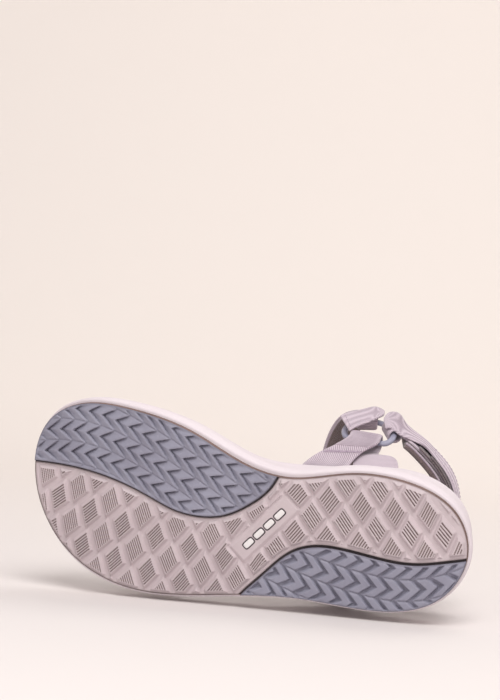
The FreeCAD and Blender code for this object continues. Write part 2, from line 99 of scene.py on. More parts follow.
# Splines --------------------------------------------------------------------
class Spline:
    """Cubic spline through points, natural or closed, with the chord length as its parameter."""

    def __init__(self, points, steps=None, closed=False):
        p = np.array(points, float)
        if closed:
            p = np.vstack([p, p[:1]])
        if steps is None:
            steps = np.concatenate([[0.0], np.cumsum(np.linalg.norm(np.diff(p, axis=0), axis=1))])
        self.steps, self.points, self.end = np.array(steps, float), p, float(steps[-1])
        n, h = len(p), np.diff(self.steps)
        matrix, right = np.zeros((n, n)), np.zeros((n, p.shape[1]))
        slope = np.diff(p, axis=0) / h[:, None]
        for i in range(1, n - 1):
            matrix[i, i - 1:i + 2] = h[i - 1], 2 * (h[i - 1] + h[i]), h[i]
            right[i] = 6 * (slope[i] - slope[i - 1])
        if closed:
            matrix[0, [0, 1, n - 2]] = 2 * (h[0] + h[-1]), h[0], h[-1]
            right[0] = 6 * (slope[0] - slope[-1])
            matrix[n - 1, [0, n - 1]] = 1, -1
        else:
            matrix[0, 0] = matrix[n - 1, n - 1] = 1
        self.bend = np.linalg.solve(matrix, right)

    def at(self, u):
        u = np.atleast_1d(np.asarray(u, float))
        i = np.clip(np.searchsorted(self.steps, u, side="right") - 1, 0, len(self.steps) - 2)
        h = (self.steps[i + 1] - self.steps[i])[:, None]
        a = (self.steps[i + 1] - u)[:, None] / h
        b = 1 - a
        return (a * self.points[i] + b * self.points[i + 1]
                + ((a ** 3 - a) * self.bend[i] + (b ** 3 - b) * self.bend[i + 1]) * h ** 2 / 6)


def unit(v):
    return v / np.maximum(np.linalg.norm(v, axis=-1, keepdims=True), 1e-9)


def smooth(low, high, x):
    t = np.clip((x - low) / (high - low), 0, 1)
    return t * t * (3 - 2 * t)


def rounded(v, power):
    """A cosine or sine made squarer by a power below 1."""
    return np.sign(v) * np.abs(v) ** power


def ground(y):
    """Height of the curved ground line of the sole."""
    toe = np.clip(TOE_START - y, 0, 200)
    heel = np.clip(y - HEEL_START, 0, 100)
    return ((TOE_RADIUS - np.sqrt(TOE_RADIUS ** 2 - toe ** 2))
            + (HEEL_RADIUS - np.sqrt(HEEL_RADIUS ** 2 - heel ** 2)))


RIM_LINE = Spline(RIM_PROFILE)
RIM_TABLE = RIM_LINE.at(np.linspace(0, RIM_LINE.end, 600))


def rim(y):
    return np.interp(y, RIM_TABLE[:, 0], RIM_TABLE[:, 1])


def outline_points(column=None, inset=0.0):
    """The outline's own points moved out by a column of OUTLINE plus a constant."""
    rows = np.array(OUTLINE, float)
    along = unit(np.roll(rows[:, :2], -1, 0) - np.roll(rows[:, :2], 1, 0))
    outward = np.stack([-along[:, 1], along[:, 0]], 1)
    wrong = outward[:, 0] * rows[:, 0] + outward[:, 1] * rows[:, 1] * 0.3 < 0
    outward[wrong] *= -1
    distance = inset + (rows[:, column] if column else 0.0)
    return rows[:, :2] + outward * np.reshape(distance, (-1, 1))


BASE_STEPS = Spline(outline_points(), closed=True).steps


def outline_curve(count, column=None, inset=0.0):
    """Smooth closed outline as count points, at the same parameters whatever its offset."""
    curve = Spline(outline_points(column, inset), BASE_STEPS, closed=True)
    return curve.at(np.linspace(0, curve.end, count, endpoint=False))


def outward_of(line):
    """Outward directions along a closed plan line."""
    along = unit(np.roll(line, -1, 0) - np.roll(line, 1, 0))
    outward = np.stack([along[:, 1], -along[:, 0]], 1)
    return outward * np.sign((outward * line).sum())


# Distance fields in plan ----------------------------------------------------
FIELD_STEP = 1.0
FIELD_X = np.arange(-64, 65, FIELD_STEP)
FIELD_Y = np.arange(-140, 141, FIELD_STEP)
GRID_X, GRID_Y = np.meshgrid(FIELD_X, FIELD_Y, indexing="ij")


def distance_to(line, closed):
    """Distance from every point of the coarse plan grid to a polyline."""
    a = line if closed else line[:-1]
    b = np.roll(line, -1, 0) if closed else line[1:]
    p = np.stack([GRID_X.ravel(), GRID_Y.ravel()], 1)
    best = np.full(len(p), 1e9)
    for start, end in zip(a, b):
        d = end - start
        t = np.clip(((p - start) @ d) / (d @ d), 0, 1)
        best = np.minimum(best, ((p - start - t[:, None] * d) ** 2).sum(1))
    return np.sqrt(best).reshape(GRID_X.shape)


def sample(field, x, y):
    """Bilinear reading of a field at any points."""
    fx = np.clip((x - FIELD_X[0]) / FIELD_STEP, 0, len(FIELD_X) - 1.001)
    fy = np.clip((y - FIELD_Y[0]) / FIELD_STEP, 0, len(FIELD_Y) - 1.001)
    i, j = fx.astype(int), fy.astype(int)
    fx, fy = fx - i, fy - j
    return ((field[i, j] * (1 - fx) + field[i + 1, j] * fx) * (1 - fy)
            + (field[i, j + 1] * (1 - fx) + field[i + 1, j + 1] * fx) * fy)


def inside_field(line):
    """Signed distance to a closed line, positive inside."""
    distance = distance_to(line, True)
    inside = np.zeros(GRID_X.shape, bool)
    for a, b in zip(line, np.roll(line, -1, 0)):
        if a[1] != b[1]:
            crosses = (a[1] > GRID_Y) != (b[1] > GRID_Y)
            inside ^= crosses & (GRID_X < (b[0] - a[0]) * (GRID_Y - a[1]) / (b[1] - a[1]) + a[0])
    return np.where(inside, distance, -distance)


def side_field(seam):
    """Signed distance to a seam, positive on its medial side."""
    curve = Spline(seam)
    line = curve.at(np.linspace(0, curve.end, 240))
    sign = np.where(GRID_X > np.interp(GRID_Y, line[:, 1], line[:, 0]), 1.0, -1.0)
    return distance_to(line, False) * sign


SOLE = inside_field(outline_curve(360))
FOREFOOT_SIDE = side_field(FOREFOOT_SEAM)
HEEL_SIDE = side_field(HEEL_SEAM)


# Meshes ---------------------------------------------------------------------
def make_mesh(name, points, faces, material, uv=None, shift=True, painted_shade=None):
    """A smooth-shaded mesh object from points in millimetres; uv is per point, in millimetres."""
    points = np.asarray(points, float)
    co = (points + SHIFT if shift else points) * MM
    mesh = bpy.data.meshes.new(name)
    faces = np.asarray(faces, np.int32)
    mesh.vertices.add(len(co))
    mesh.vertices.foreach_set("co", co.astype(np.float32).ravel())
    sides = faces.shape[1]
    mesh.loops.add(faces.size)
    mesh.loops.foreach_set("vertex_index", faces.ravel())
    mesh.polygons.add(len(faces))
    mesh.polygons.foreach_set("loop_start", np.arange(0, faces.size, sides, dtype=np.int32))
    mesh.polygons.foreach_set("use_smooth", np.ones(len(faces), bool))
    mesh.update(calc_edges=True)
    if uv is not None:
        layer = mesh.uv_layers.new(name="UVMap")
        corners = np.asarray(uv, float)[faces.ravel()] * UV_SCALE
        layer.data.foreach_set("uv", corners.astype(np.float32).ravel())
    # Painted shade per point, kept as a mesh attribute for the rubber's deep colour.
    if painted_shade is not None:
        mark = mesh.attributes.new("painted_shade", "FLOAT", "POINT")
        mark.data.foreach_set("value", np.asarray(painted_shade, np.float32))
    mesh.materials.append(material)
    mesh.validate()
    obj = bpy.data.objects.new(name, mesh)
    bpy.context.scene.collection.objects.link(obj)
    return obj


def place(piece, body, slot, *nodes):
    """Rides the piece on its body and hides the CAD nodes that it stands for; the slot is not used."""
    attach(piece, body)
    if nodes:
        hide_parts(*nodes)
    return piece


def grid_faces(rows, columns, close_rows=False, close_columns=False, flip=False):
    """Quads of a rows by columns grid of points."""
    i = np.arange(rows if close_rows else rows - 1)
    j = np.arange(columns if close_columns else columns - 1)
    i, j = (a.ravel() for a in np.meshgrid(i, j, indexing="ij"))
    i2, j2 = (i + 1) % rows, (j + 1) % columns
    quads = np.stack([i * columns + j, i2 * columns + j, i2 * columns + j2, i * columns + j2], 1)
    return quads[:, ::-1] if flip else quads


def joined(parts):
    """Several (points, faces) as one."""
    points, faces, offset = [], [], 0
    for p, f in parts:
        points.append(p)
        faces.append(np.asarray(f) + offset)
        offset += len(p)
    return np.vstack(points), np.vstack(faces)


def plan_patch(region, step, height, flip):
    """Points and quads of a plan grid over a region, whose border is pulled onto the region's edge."""
    xs, ys = np.arange(-56, 56 + step, step), np.arange(-131, 131 + step, step)
    gx, gy = (a.ravel() for a in np.meshgrid(xs, ys, indexing="ij"))
    d = region(gx, gy)
    eps = 0.5
    slope = np.stack([region(gx + eps, gy) - region(gx - eps, gy),
                      region(gx, gy + eps) - region(gx, gy - eps)], 1) / (2 * eps)
    near = (d < 0) & (d > -1.5 * step)
    gx = np.where(near, gx - slope[:, 0] * d, gx)
    gy = np.where(near, gy - slope[:, 1] * d, gy)
    usable = d > -1.5 * step
    quads = grid_faces(len(xs), len(ys), flip=flip)
    quads = quads[usable[quads].all(1) & (d[quads] > 0).any(1)]
    used = np.unique(quads)
    index = np.zeros(len(gx), int)
    index[used] = np.arange(len(used))
    gx, gy = gx[used], gy[used]
    return np.stack([gx, gy, height(gx, gy)], 1), index[quads]


# Materials ------------------------------------------------------------------
class Shade:
    """A small builder for one node material."""

    def __init__(self, name, roughness=0.6, specular=0.5, sheen=0.0, coat=0.0):
        self.material = bpy.data.materials.new(name)
        self.material.use_nodes = True
        self.tree = self.material.node_tree
        self.shader = self.tree.nodes["Principled BSDF"]
        self.shader.inputs["Roughness"].default_value = roughness
        self.shader.inputs["Specular IOR Level"].default_value = specular
        self.shader.inputs["Sheen Weight"].default_value = sheen
        self.shader.inputs["Coat Weight"].default_value = coat
        self.coordinates = self.tree.nodes.new("ShaderNodeTexCoord")

    def node(self, kind, values=None, **links):
        made = self.tree.nodes.new(kind)
        for key, value in (values or {}).items():
            if key in made.inputs:
                made.inputs[key].default_value = value
            else:
                setattr(made, key, value)
        for key, socket in links.items():
            self.tree.links.new(socket, made.inputs[key.replace("_", " ")])
        return made

    def place(self, kind="Object"):
        return self.coordinates.outputs[kind]

    def noise(self, scale, detail=3.0, kind="Object", roughness=0.55):
        made = self.node("ShaderNodeTexNoise", {"Scale": scale, "Detail": detail, "Roughness": roughness},
                         Vector=self.place(kind))
        return made.outputs["Fac"]

    def ramp(self, socket, stops):
        made = self.node("ShaderNodeValToRGB", Fac=socket)
        elements = made.color_ramp.elements
        while len(elements) < len(stops):
            elements.new(0.5)
        for element, (position, colour) in zip(elements, stops):
            element.position = position
            element.color = (*colour, 1.0)
        return made.outputs["Color"]

    def value_ramp(self, socket, low, high, out_low, out_high):
        made = self.node("ShaderNodeMapRange", {"From Min": low, "From Max": high,
                                                "To Min": out_low, "To Max": out_high}, Value=socket)
        return made.outputs["Result"]

    def feed(self, socket, value):
        """Links a socket to the input, or sets the input to a colour or a number."""
        if isinstance(value, bpy.types.NodeSocket):
            self.tree.links.new(value, socket)
        else:
            socket.default_value = (*value, 1.0) if isinstance(value, tuple) else value

    def mix(self, factor, a, b):
        made = self.node("ShaderNodeMix", {"data_type": "RGBA"})
        for index, value in ((0, factor), (6, a), (7, b)):
            self.feed(made.inputs[index], value)
        return made.outputs[2]

    def math(self, operation, *values):
        made = self.node("ShaderNodeMath", {"operation": operation})
        for socket, value in zip(made.inputs, values):
            self.feed(socket, value)
        return made.outputs[0]

    def wave(self, across, pitch):
        """Stripes on the UV map; across is the share of U and V along which they repeat."""
        mapped = self.node("ShaderNodeMapping", {"Scale": (*across, 1.0)}, Vector=self.place("UV"))
        split = self.node("ShaderNodeSeparateXYZ", Vector=mapped.outputs["Vector"])
        total = self.math("ADD", split.outputs["X"], split.outputs["Y"])
        turns = self.math("MULTIPLY", total, 2 * math.pi / (pitch * UV_SCALE))
        return self.value_ramp(self.math("SINE", turns), -1.0, 1.0, 0.0, 1.0)

    def bump(self, height, strength, distance, below=None):
        made = self.node("ShaderNodeBump", {"Strength": strength, "Distance": distance}, Height=height)
        if below is not None:
            self.tree.links.new(below, made.inputs["Normal"])
        return made.outputs["Normal"]

    def finish(self, colour=None, normal=None, roughness=None):
        for name, socket in (("Base Color", colour), ("Normal", normal), ("Roughness", roughness)):
            if socket is not None:
                self.tree.links.new(socket, self.shader.inputs[name])
        return self.material


def srgb(red, green, blue):
    """Linear colour of an sRGB byte triple."""
    return tuple((c / 255 / 12.92) if c / 255 <= 0.04045 else ((c / 255 + 0.055) / 1.055) ** 2.4
                 for c in (red, green, blue))


def rubber(name, light, dark, deep, speck, roughness):
    """Moulded rubber: cloudy tint, fine grain, pale dust, and painted shade in its grooves and recesses."""
    s = Shade(name, roughness=roughness, specular=0.35)
    cloud = s.ramp(s.noise(28.0, 4.0), [(0.35, dark), (0.65, light)])
    painted_shade = s.node("ShaderNodeAttribute", {"attribute_name": "painted_shade"}).outputs["Fac"]
    # The mesh attribute mixes in the deep colour: painted shade in grooves, notches and seams.
    cloud = s.mix(painted_shade, cloud, deep)
    dusty = s.mix(s.value_ramp(s.noise(420.0, 2.0), 0.60, 0.72, 0.0, 0.35), cloud, speck)
    grain = s.noise(1800.0, 2.0)
    wear = s.value_ramp(s.noise(90.0, 3.0), 0.3, 0.7, roughness - 0.08, roughness + 0.1)
    return s.finish(dusty, s.bump(grain, 0.35, 0.0001), wear)


def foam(name, light, dark):
    """Moulded foam: matt skin with faint mottling and tiny pits."""
    s = Shade(name, roughness=0.72, specular=0.25, sheen=0.05)
    tint = s.ramp(s.noise(16.0, 3.0), [(0.3, dark), (0.7, light)])
    pits = s.noise(1300.0, 3.0, roughness=0.7)
    soft = s.noise(120.0, 2.0)
    normal = s.bump(pits, 0.3, 0.00012, s.bump(soft, 0.15, 0.0006))
    return s.finish(tint, normal, s.value_ramp(pits, 0.3, 0.7, 0.66, 0.82))


def woven(name, light, dark, across, pitch, thread=(0.0, 1.0), thread_pitch=0.45, sheen=0.3):
    """Webbing: ribs across the strap with finer threads along it, slightly uneven in colour."""
    s = Shade(name, roughness=0.78, specular=0.2, sheen=sheen)
    s.shader.inputs["Sheen Roughness"].default_value = 0.45
    ribs = s.wave(across, pitch)
    threads = s.wave(thread, thread_pitch)
    base = s.mix(ribs, dark, light)
    base = s.mix(s.value_ramp(threads, 0.0, 1.0, 0.0, 0.28), base, dark)
    worn = s.mix(s.value_ramp(s.noise(60.0, 4.0), 0.35, 0.7, 0.0, 0.3), base, light)
    fuzz = s.noise(2600.0, 2.0)
    normal = s.bump(threads, 0.4, 0.0001, s.bump(ribs, 0.7, 0.00022, s.bump(fuzz, 0.2, 0.0001)))
    return s.finish(worn, normal)


def fuzzy(name, light, dark, scale, sheen=0.6):
    """Brushed textile: curled fibres as layered noise with a soft sheen."""
    s = Shade(name, roughness=0.95, specular=0.1, sheen=sheen)
    s.shader.inputs["Sheen Roughness"].default_value = 0.6
    coarse = s.noise(scale, 5.0, roughness=0.75)
    fine = s.noise(scale * 4.5, 3.0, roughness=0.7)
    tint = s.ramp(coarse, [(0.38, dark), (0.62, light)])
    tint = s.mix(s.value_ramp(fine, 0.45, 0.75, 0.0, 0.5), tint, light)
    return s.finish(tint, s.bump(fine, 0.8, 0.0004, s.bump(coarse, 0.6, 0.0008)))


def plastic(name, light, dark, roughness=0.38):
    s = Shade(name, roughness=roughness, specular=0.5, coat=0.15)
    s.shader.inputs["Coat Roughness"].default_value = 0.3
    tint = s.ramp(s.noise(60.0, 2.0), [(0.3, dark), (0.7, light)])
    grain = s.noise(900.0, 3.0)
    wear = s.value_ramp(grain, 0.3, 0.7, roughness - 0.06, roughness + 0.12)
    return s.finish(tint, s.bump(grain, 0.15, 0.0001), wear)


def thread_material(name, light, dark):
    s = Shade(name, roughness=0.55, specular=0.3, sheen=0.3)
    tint = s.ramp(s.noise(700.0, 3.0), [(0.35, dark), (0.65, light)])
    return s.finish(tint, s.bump(s.noise(2400.0, 2.0), 0.4, 0.0001))


# The third colour of each rubber is the colour of its painted shade.
MAUVE = rubber("mauve rubber", srgb(204, 191, 195), srgb(195, 182, 186), srgb(118, 100, 96),
               srgb(208, 200, 200), 0.55)
# A darker, browner copy of the mauve rubber for the outsole's side wall: painted shade for the shadow gap
# along the sole's edge.
MAUVE_SHADED_SIDE = rubber("mauve rubber, painted shade on the side", srgb(128, 104, 98), srgb(108, 86, 80), srgb(80, 62, 58),
                    srgb(140, 118, 112), 0.6)
SLATE = rubber("blue-grey rubber", srgb(150, 150, 166), srgb(140, 139, 155), srgb(66, 60, 72),
               srgb(160, 160, 174), 0.5)
FOAM = foam("cream-pink foam", srgb(226, 218, 223), srgb(222, 212, 218))
TOPCOVER = fuzzy("footbed cover", srgb(176, 160, 160), srgb(150, 134, 135), 900.0, sheen=0.2)
WEB_LIGHT, WEB_DARK = srgb(224, 211, 221), srgb(164, 150, 162)
RIB_PITCH, TWILL_PITCH, TWILL_SLANT = 0.95, 0.85, 0.7
WEB_CROSS = woven("webbing cross ribs", WEB_LIGHT, WEB_DARK, (0.0, 1.0), RIB_PITCH, (1.0, 0.0), 0.5)
WEB_LONG = woven("webbing long ribs", WEB_LIGHT, WEB_DARK, (1.0, 0.0), RIB_PITCH, (0.0, 1.0), 0.5)
WEB_TWILL = woven("webbing twill", WEB_LIGHT, WEB_DARK, (TWILL_SLANT, TWILL_SLANT), TWILL_PITCH,
                  (TWILL_SLANT, -TWILL_SLANT), 0.6)
LINING = fuzzy("brown lining", srgb(126, 106, 106), srgb(96, 77, 78), 1500.0)
PIPING = woven("light binding", srgb(204, 190, 202), srgb(170, 154, 168), (0.0, 1.0), 0.6)
LOOP = fuzzy("loop tape", srgb(140, 124, 128), srgb(84, 70, 74), 1100.0, sheen=0.4)
HOOK = fuzzy("hook tape", srgb(128, 114, 118), srgb(74, 62, 66), 1700.0, sheen=0.2)
RING = plastic("ring plastic", srgb(164, 164, 184), srgb(146, 146, 166))
THREAD = thread_material("thread", srgb(186, 170, 186), srgb(158, 142, 158))
BADGE = plastic("badge white", srgb(236, 234, 234), srgb(226, 222, 222), 0.5)
# Dark print of the badge's outline, also the colour of the painted shade sheet in the seams.
BADGE_OUTLINE_AND_SEAM_SHADE = plastic("dark print and seam shade", srgb(76, 66, 70), srgb(62, 54, 58), 0.6)


# Outsole --------------------------------------------------------------------
TREAD_STEP = 0.33
# Lug lattices: origin, the two steps, and for each step's sides their turn and its growth along the sole
FOREFOOT_LATTICE = ((-18.0, -47.5), (-12.0, 8.8), (9.0, 11.4), ((-10.0, 0.165), (14.5, 0.13)))
HEEL_LATTICE = ((20.3, 66.0), (-11.2, 9.9), (11.0, 8.4), ((0.0, 0.0), (11.0, 0.19)))
LATTICE_CHANGE = 14.0
LUG_SPACE = 0.6
GROOVE_DEPTH = 0.8
# Chevrons: pitch along a row, spacing of the rows, and how far the arms reach behind the point
FOREFOOT_CHEVRON, HEEL_CHEVRON = (8.3, 12.4, 8.4), (9.1, 12.3, 6.8)
BADGE_CENTRE, BADGE_TURN, BADGE_SIZE = (-2.2, 13.5), math.radians(38.5), (44.0, 11.0)


def turned(v, angle):
    return v[0] * np.cos(angle) + v[1] * np.sin(angle), v[1] * np.cos(angle) - v[0] * np.sin(angle)


def badge_distance(x, y):
    """Distance outside the smooth pad of the badge."""
    u, v = turned((x - BADGE_CENTRE[0], y - BADGE_CENTRE[1]), BADGE_TURN)
    u, v = np.abs(u) - BADGE_SIZE[0] / 2, np.abs(v) - BADGE_SIZE[1] / 2
    return np.hypot(np.maximum(u, 0), np.maximum(v, 0)) + np.minimum(np.maximum(u, v), 0)


def lugs(cells, x, y):
    """Distance inside the nearest lug's side, and the place across its grooves.

    The centres lie on a lattice, and each lug is a lozenge whose sides are turned against the
    lattice's two directions, more and more along the sole."""
    origin, (a0, a1), (b0, b1), turns = cells
    x, y = x - origin[0], y - origin[1]
    area = a0 * b1 - a1 * b0
    near_m, near_n = np.round((x * b1 - y * b0) / area), np.round((a0 * y - a1 * x) / area)
    best, place_across = np.full(x.shape, -9.0), np.zeros(x.shape)
    for step_m, step_n in itertools.product((-1, 0, 1), repeat=2):
        m, n = near_m + step_m, near_n + step_n
        centre_y = m * a1 + n * b1
        dx, dy = x - m * a0 - n * b0, y - centre_y
        side_a, side_b = (turned(v, np.radians(start + growth * centre_y))
                          for v, (start, growth) in zip(((a0, a1), (b0, b1)), turns))
        long_a, long_b = math.hypot(a0, a1), math.hypot(b0, b1)
        room = np.abs(side_a[0] * side_b[1] - side_a[1] * side_b[0]) / 2
        from_b = (dx * side_b[1] - dy * side_b[0]) / long_b
        from_a = (dx * side_a[1] - dy * side_a[0]) / long_a
        edge = np.minimum(room / long_b - np.abs(from_b), room / long_a - np.abs(from_a))
        closer = edge > best
        best = np.where(closer, edge, best)
        place_across = np.where(closer, np.where((m + n) % 2 == 0, from_b, from_a), place_across)
    return best, place_across


def ramp_up(low, high, x):
    """Straight bevel from 0 at low to 1 at high."""
    return np.clip((x - low) / (high - low), 0, 1)


def diamond_tread(x, y, room):
    """Depth below the lug tops in the mauve plate, and how much of it is groove, which is also its painted
    shade.

    room is the distance to where lugs must end."""
    depth, painted_shade = np.full(x.shape, LUG_DEPTH), np.zeros(x.shape)
    for cells, bend, pitch, here in (
            (FOREFOOT_LATTICE, 0.00083 * (y + 55) ** 2, 1.27, y < LATTICE_CHANGE),
            (HEEL_LATTICE, 0.0022 * np.maximum(y - 70, 0) ** 2, 1.45, y >= LATTICE_CHANGE)):
        edge, place_across = lugs(cells, x - bend, y)
        edge = np.minimum(edge - LUG_SPACE, room)
        rise = ramp_up(0.0, 1.35, edge)
        stripe = place_across / pitch + 0.5
        groove = ramp_up(0.24, 0.36, np.abs(stripe - np.round(stripe))) * ramp_up(1.5, 1.7, edge)
        depth = np.where(here, LUG_DEPTH * (1 - rise) + groove * GROOVE_DEPTH, depth)
        # The grooves across the lug tops get painted shade.
        painted_shade = np.where(here, groove, painted_shade)
    return depth, painted_shade


def chevrons(x, y, sizes, row_line, direction):
    """Place across the row (-1 to 1) and along the pitch (0 to 1, from a lug's point backwards)."""
    pitch, spacing, arm = sizes
    across = (x - row_line) / spacing
    across = (across - np.round(across)) * 2
    along = (-direction * y - arm * np.sqrt(across ** 2 + 0.001)) / pitch
    return across, along % 1.0


def forefoot_tread(x, y, room):
    """Chevrons like scales: each rises gently from a deep notch and drops steeply behind."""
    row_line = 33.2 - 20.8 * (np.hypot(1, (y + 97) / 40) - 1)
    across, along = chevrons(x, y + 136.8, FOREFOOT_CHEVRON, row_line, -1)
    side = np.abs(across)
    deep = 1.3 - 0.9 * side ** 2
    rise = ramp_up(0.0, 0.75, along) ** 0.7 * (1 - ramp_up(0.97, 1.0, along))
    crease = ramp_up(0.86, 1.0, side)
    depth = LUG_DEPTH * (1 - rise) * deep + 0.5 * crease
    # Painted shade: a painted shadow in each notch, stronger on the upper arm's side, whose steep wall is
    # turned away from the key light, and along the creases between rows.
    shaded = 0.3 + 0.7 * ramp_up(-0.1, 0.1, across)
    painted_shade = 0.9 * ramp_up(0.22, 0.0, along) * ramp_up(0.9, 0.6, side) * shaded + 0.2 * crease
    inside = ramp_up(0.0, 1.2, room)
    return depth * inside + 0.3 * (1 - inside), painted_shade * inside


def heel_tread(x, y, room):
    """Flat-topped chevrons with a clear gap in front of each point."""
    row_line = -23.2 + np.where(y > 84, 0.0078, 0.0027) * (y - 84) ** 2
    across, along = chevrons(x, y + 5, HEEL_CHEVRON, row_line, 1)
    side = np.abs(across)
    rise = ramp_up(0.0, 0.07, along) * (1 - ramp_up(0.62, 0.8, along))
    deep = 1.15 - 0.5 * side ** 3
    crease = ramp_up(0.85, 1.0, side)
    depth = LUG_DEPTH * (1 - rise) * deep + 0.8 * crease * rise
    # Painted shade in the gap in front of each point and along the creases between rows.
    painted_shade = 0.3 * ramp_up(0.75, 0.92, along) * ramp_up(1.0, 0.5, side) + 0.2 * crease
    inside = ramp_up(0.0, 1.0, room)
    return depth * inside + 0.3 * (1 - inside), painted_shade * inside


SEAM_GAP = 0.45


def base_region(x, y):
    d = np.minimum(sample(SOLE, x, y), -sample(FOREFOOT_SIDE, x, y) - SEAM_GAP)
    return np.minimum(d, sample(HEEL_SIDE, x, y) - SEAM_GAP)


def forefoot_region(x, y):
    return np.minimum(sample(SOLE, x, y), sample(FOREFOOT_SIDE, x, y) - SEAM_GAP)


def heel_region(x, y):
    return np.minimum(sample(SOLE, x, y), -sample(HEEL_SIDE, x, y) - SEAM_GAP)


def edge_drop(d, radius=0.7):
    """Rounding of a region's border."""
    t = np.clip(1 - d / radius, 0, 1)
    return radius * (1 - np.sqrt(np.maximum(1 - t * t, 0)))


def seam_shade(d):
    """Darkening beside a seam or a border, by the distance from it."""
    return 0.55 * ramp_up(1.1, 0.0, d)


def surface(x, y, depth, painted_shade, region):
    """Height of a plate's underside and how much painted shade it gets, with its border rounded and shaded.
    """
    d = region(x, y)
    return ground(y) + depth + edge_drop(d), painted_shade + seam_shade(d)


def base_height(x, y):
    sole, front, rear = sample(SOLE, x, y), -sample(FOREFOOT_SIDE, x, y), sample(HEEL_SIDE, x, y)
    badge = badge_distance(x, y)
    room = np.minimum(np.minimum(sole - 1.3, front - 2.0), np.minimum(rear - 2.6, badge - 1.0))
    depth, painted_shade = diamond_tread(x, y, room)
    depth = depth + (PAD_DEPTH - LUG_DEPTH) * (1 - ramp_up(-0.6, 1.4, badge))
    return surface(x, y, depth, painted_shade, base_region)


def insert_room(x, y, side):
    """Distance to where the lugs of an insert end; side is the distance inside its seam."""
    return np.minimum(sample(SOLE, x, y) - 0.6, side - 1.2)


def forefoot_height(x, y):
    room = insert_room(x, y, sample(FOREFOOT_SIDE, x, y))
    return surface(x, y, *forefoot_tread(x, y, room), forefoot_region)


def heel_height(x, y):
    room = insert_room(x, y, -sample(HEEL_SIDE, x, y))
    return surface(x, y, *heel_tread(x, y, room), heel_region)


def sole_piece(name, node, region, height, material, slot):
    points, quads = plan_patch(region, TREAD_STEP, lambda x, y: height(x, y)[0], flip=True)
    # Painted shade of each point, in grooves, notches and seams.
    painted_shade = height(points[:, 0], points[:, 1])[1]
    piece = make_mesh(name, points, quads, material, uv=points[:, :2], painted_shade=np.clip(painted_shade, 0, 1))
    return place(piece, "sole", slot, node)


def swept_wall(line, columns):
    """Points and quads of a wall that follows a closed plan line; columns are (offset, z function)."""
    rings = []
    outward = outward_of(line)
    for offset, z in columns:
        p = line + outward * offset
        rings.append(np.column_stack([p, z(p[:, 1])]))
    points = np.stack(rings, 1).reshape(-1, 3)
    return points, grid_faces(len(line), len(columns), close_rows=True)


def make_outsole():
    sole_piece("outsole_base_tread", "outsole_base", base_region, base_height, MAUVE, "outsole_rubber")
    sole_piece("outsole_forefoot_tread", "outsole_forefoot_insert", forefoot_region, forefoot_height,
               SLATE, "insert_rubber")
    sole_piece("outsole_heel_tread", "outsole_heel_insert", heel_region, heel_height, SLATE, "insert_rubber")
    line = outline_curve(720)
    wall = swept_wall(line, [
        (-0.35, lambda y: ground(y) + 1.9), (-0.02, lambda y: ground(y) + 2.3),
        (0.05, lambda y: ground(y) + 3.0), (-0.05, lambda y: ground(y) + OUTSOLE_THICK),
        (-1.4, lambda y: ground(y) + OUTSOLE_THICK)])
    # The side wall takes the darker copy of the mauve rubber as painted shade.
    place(make_mesh("outsole_side", *wall, MAUVE_SHADED_SIDE), "sole", "outsole_rubber")
    # A dark sheet above the tread, seen through the gaps between the plates: painted shade in the seams.
    shade_sheet = plan_patch(lambda x, y: sample(SOLE, x, y) - 0.4, 1.5,
                       lambda x, y: ground(y) + LUG_DEPTH + 1.1, flip=True)
    place(make_mesh("outsole_seam_shade_sheet", *shade_sheet, BADGE_OUTLINE_AND_SEAM_SHADE), "sole", "outsole_rubber")


def outward_faces(points, quads):
    """The quads of a closed surface, turned so that they face outwards."""
    p = points[quads]
    volume = sum((np.cross(p[:, k] - p[:, 0], p[:, k + 1] - p[:, 0]) * p[:, 0]).sum() for k in (1, 2))
    return quads if volume > 0 else quads[:, ::-1]


DASH_COUNT, DASH_FIRST, DASH_STEP, DASH_SIZE, DASH_ROUNDNESS = 4, -12.5, 8.2, (3.2, 1.6), 0.45
DASH_RINGS = ((0.0, 0.0), (0.5, 0.0), (0.8, 0.03), (0.93, 0.1), (1.0, 0.3), (1.0, 1.2))   # share, drop


def make_badge():
    """Four rounded dashes inlaid in the smooth pad, each on a darker backing."""
    cos, sin = math.cos(BADGE_TURN), math.sin(BADGE_TURN)
    turn = np.array([[cos, -sin], [sin, cos]])
    angle = np.linspace(0, 2 * np.pi, 64, endpoint=False)
    oval = [rounded(v, DASH_ROUNDNESS) for v in (np.cos(angle), np.sin(angle))]
    for name, grow, rise, material, nodes in (
            ("badge_dashes", 0.0, 0.55, BADGE, ["outsole_badge"]),
            ("badge_outline", 0.7, 0.3, BADGE_OUTLINE_AND_SEAM_SHADE, [])):
        parts = []
        for index in range(DASH_COUNT):
            rings = []
            for share, drop in DASH_RINGS:
                shape = np.stack([(size + grow) * v for size, v in zip(DASH_SIZE, oval)], 1) * share
                shape[:, 0] += DASH_FIRST + index * DASH_STEP
                shape = shape @ turn.T + BADGE_CENTRE
                rings.append(np.column_stack([shape, np.full(len(shape), PAD_DEPTH - rise + drop)]))
            points = np.stack(rings).reshape(-1, 3)
            parts.append((points, grid_faces(len(rings), len(angle), close_columns=True)))
        place(make_mesh(name, *joined(parts), material), "sole", "badge_print", *nodes)


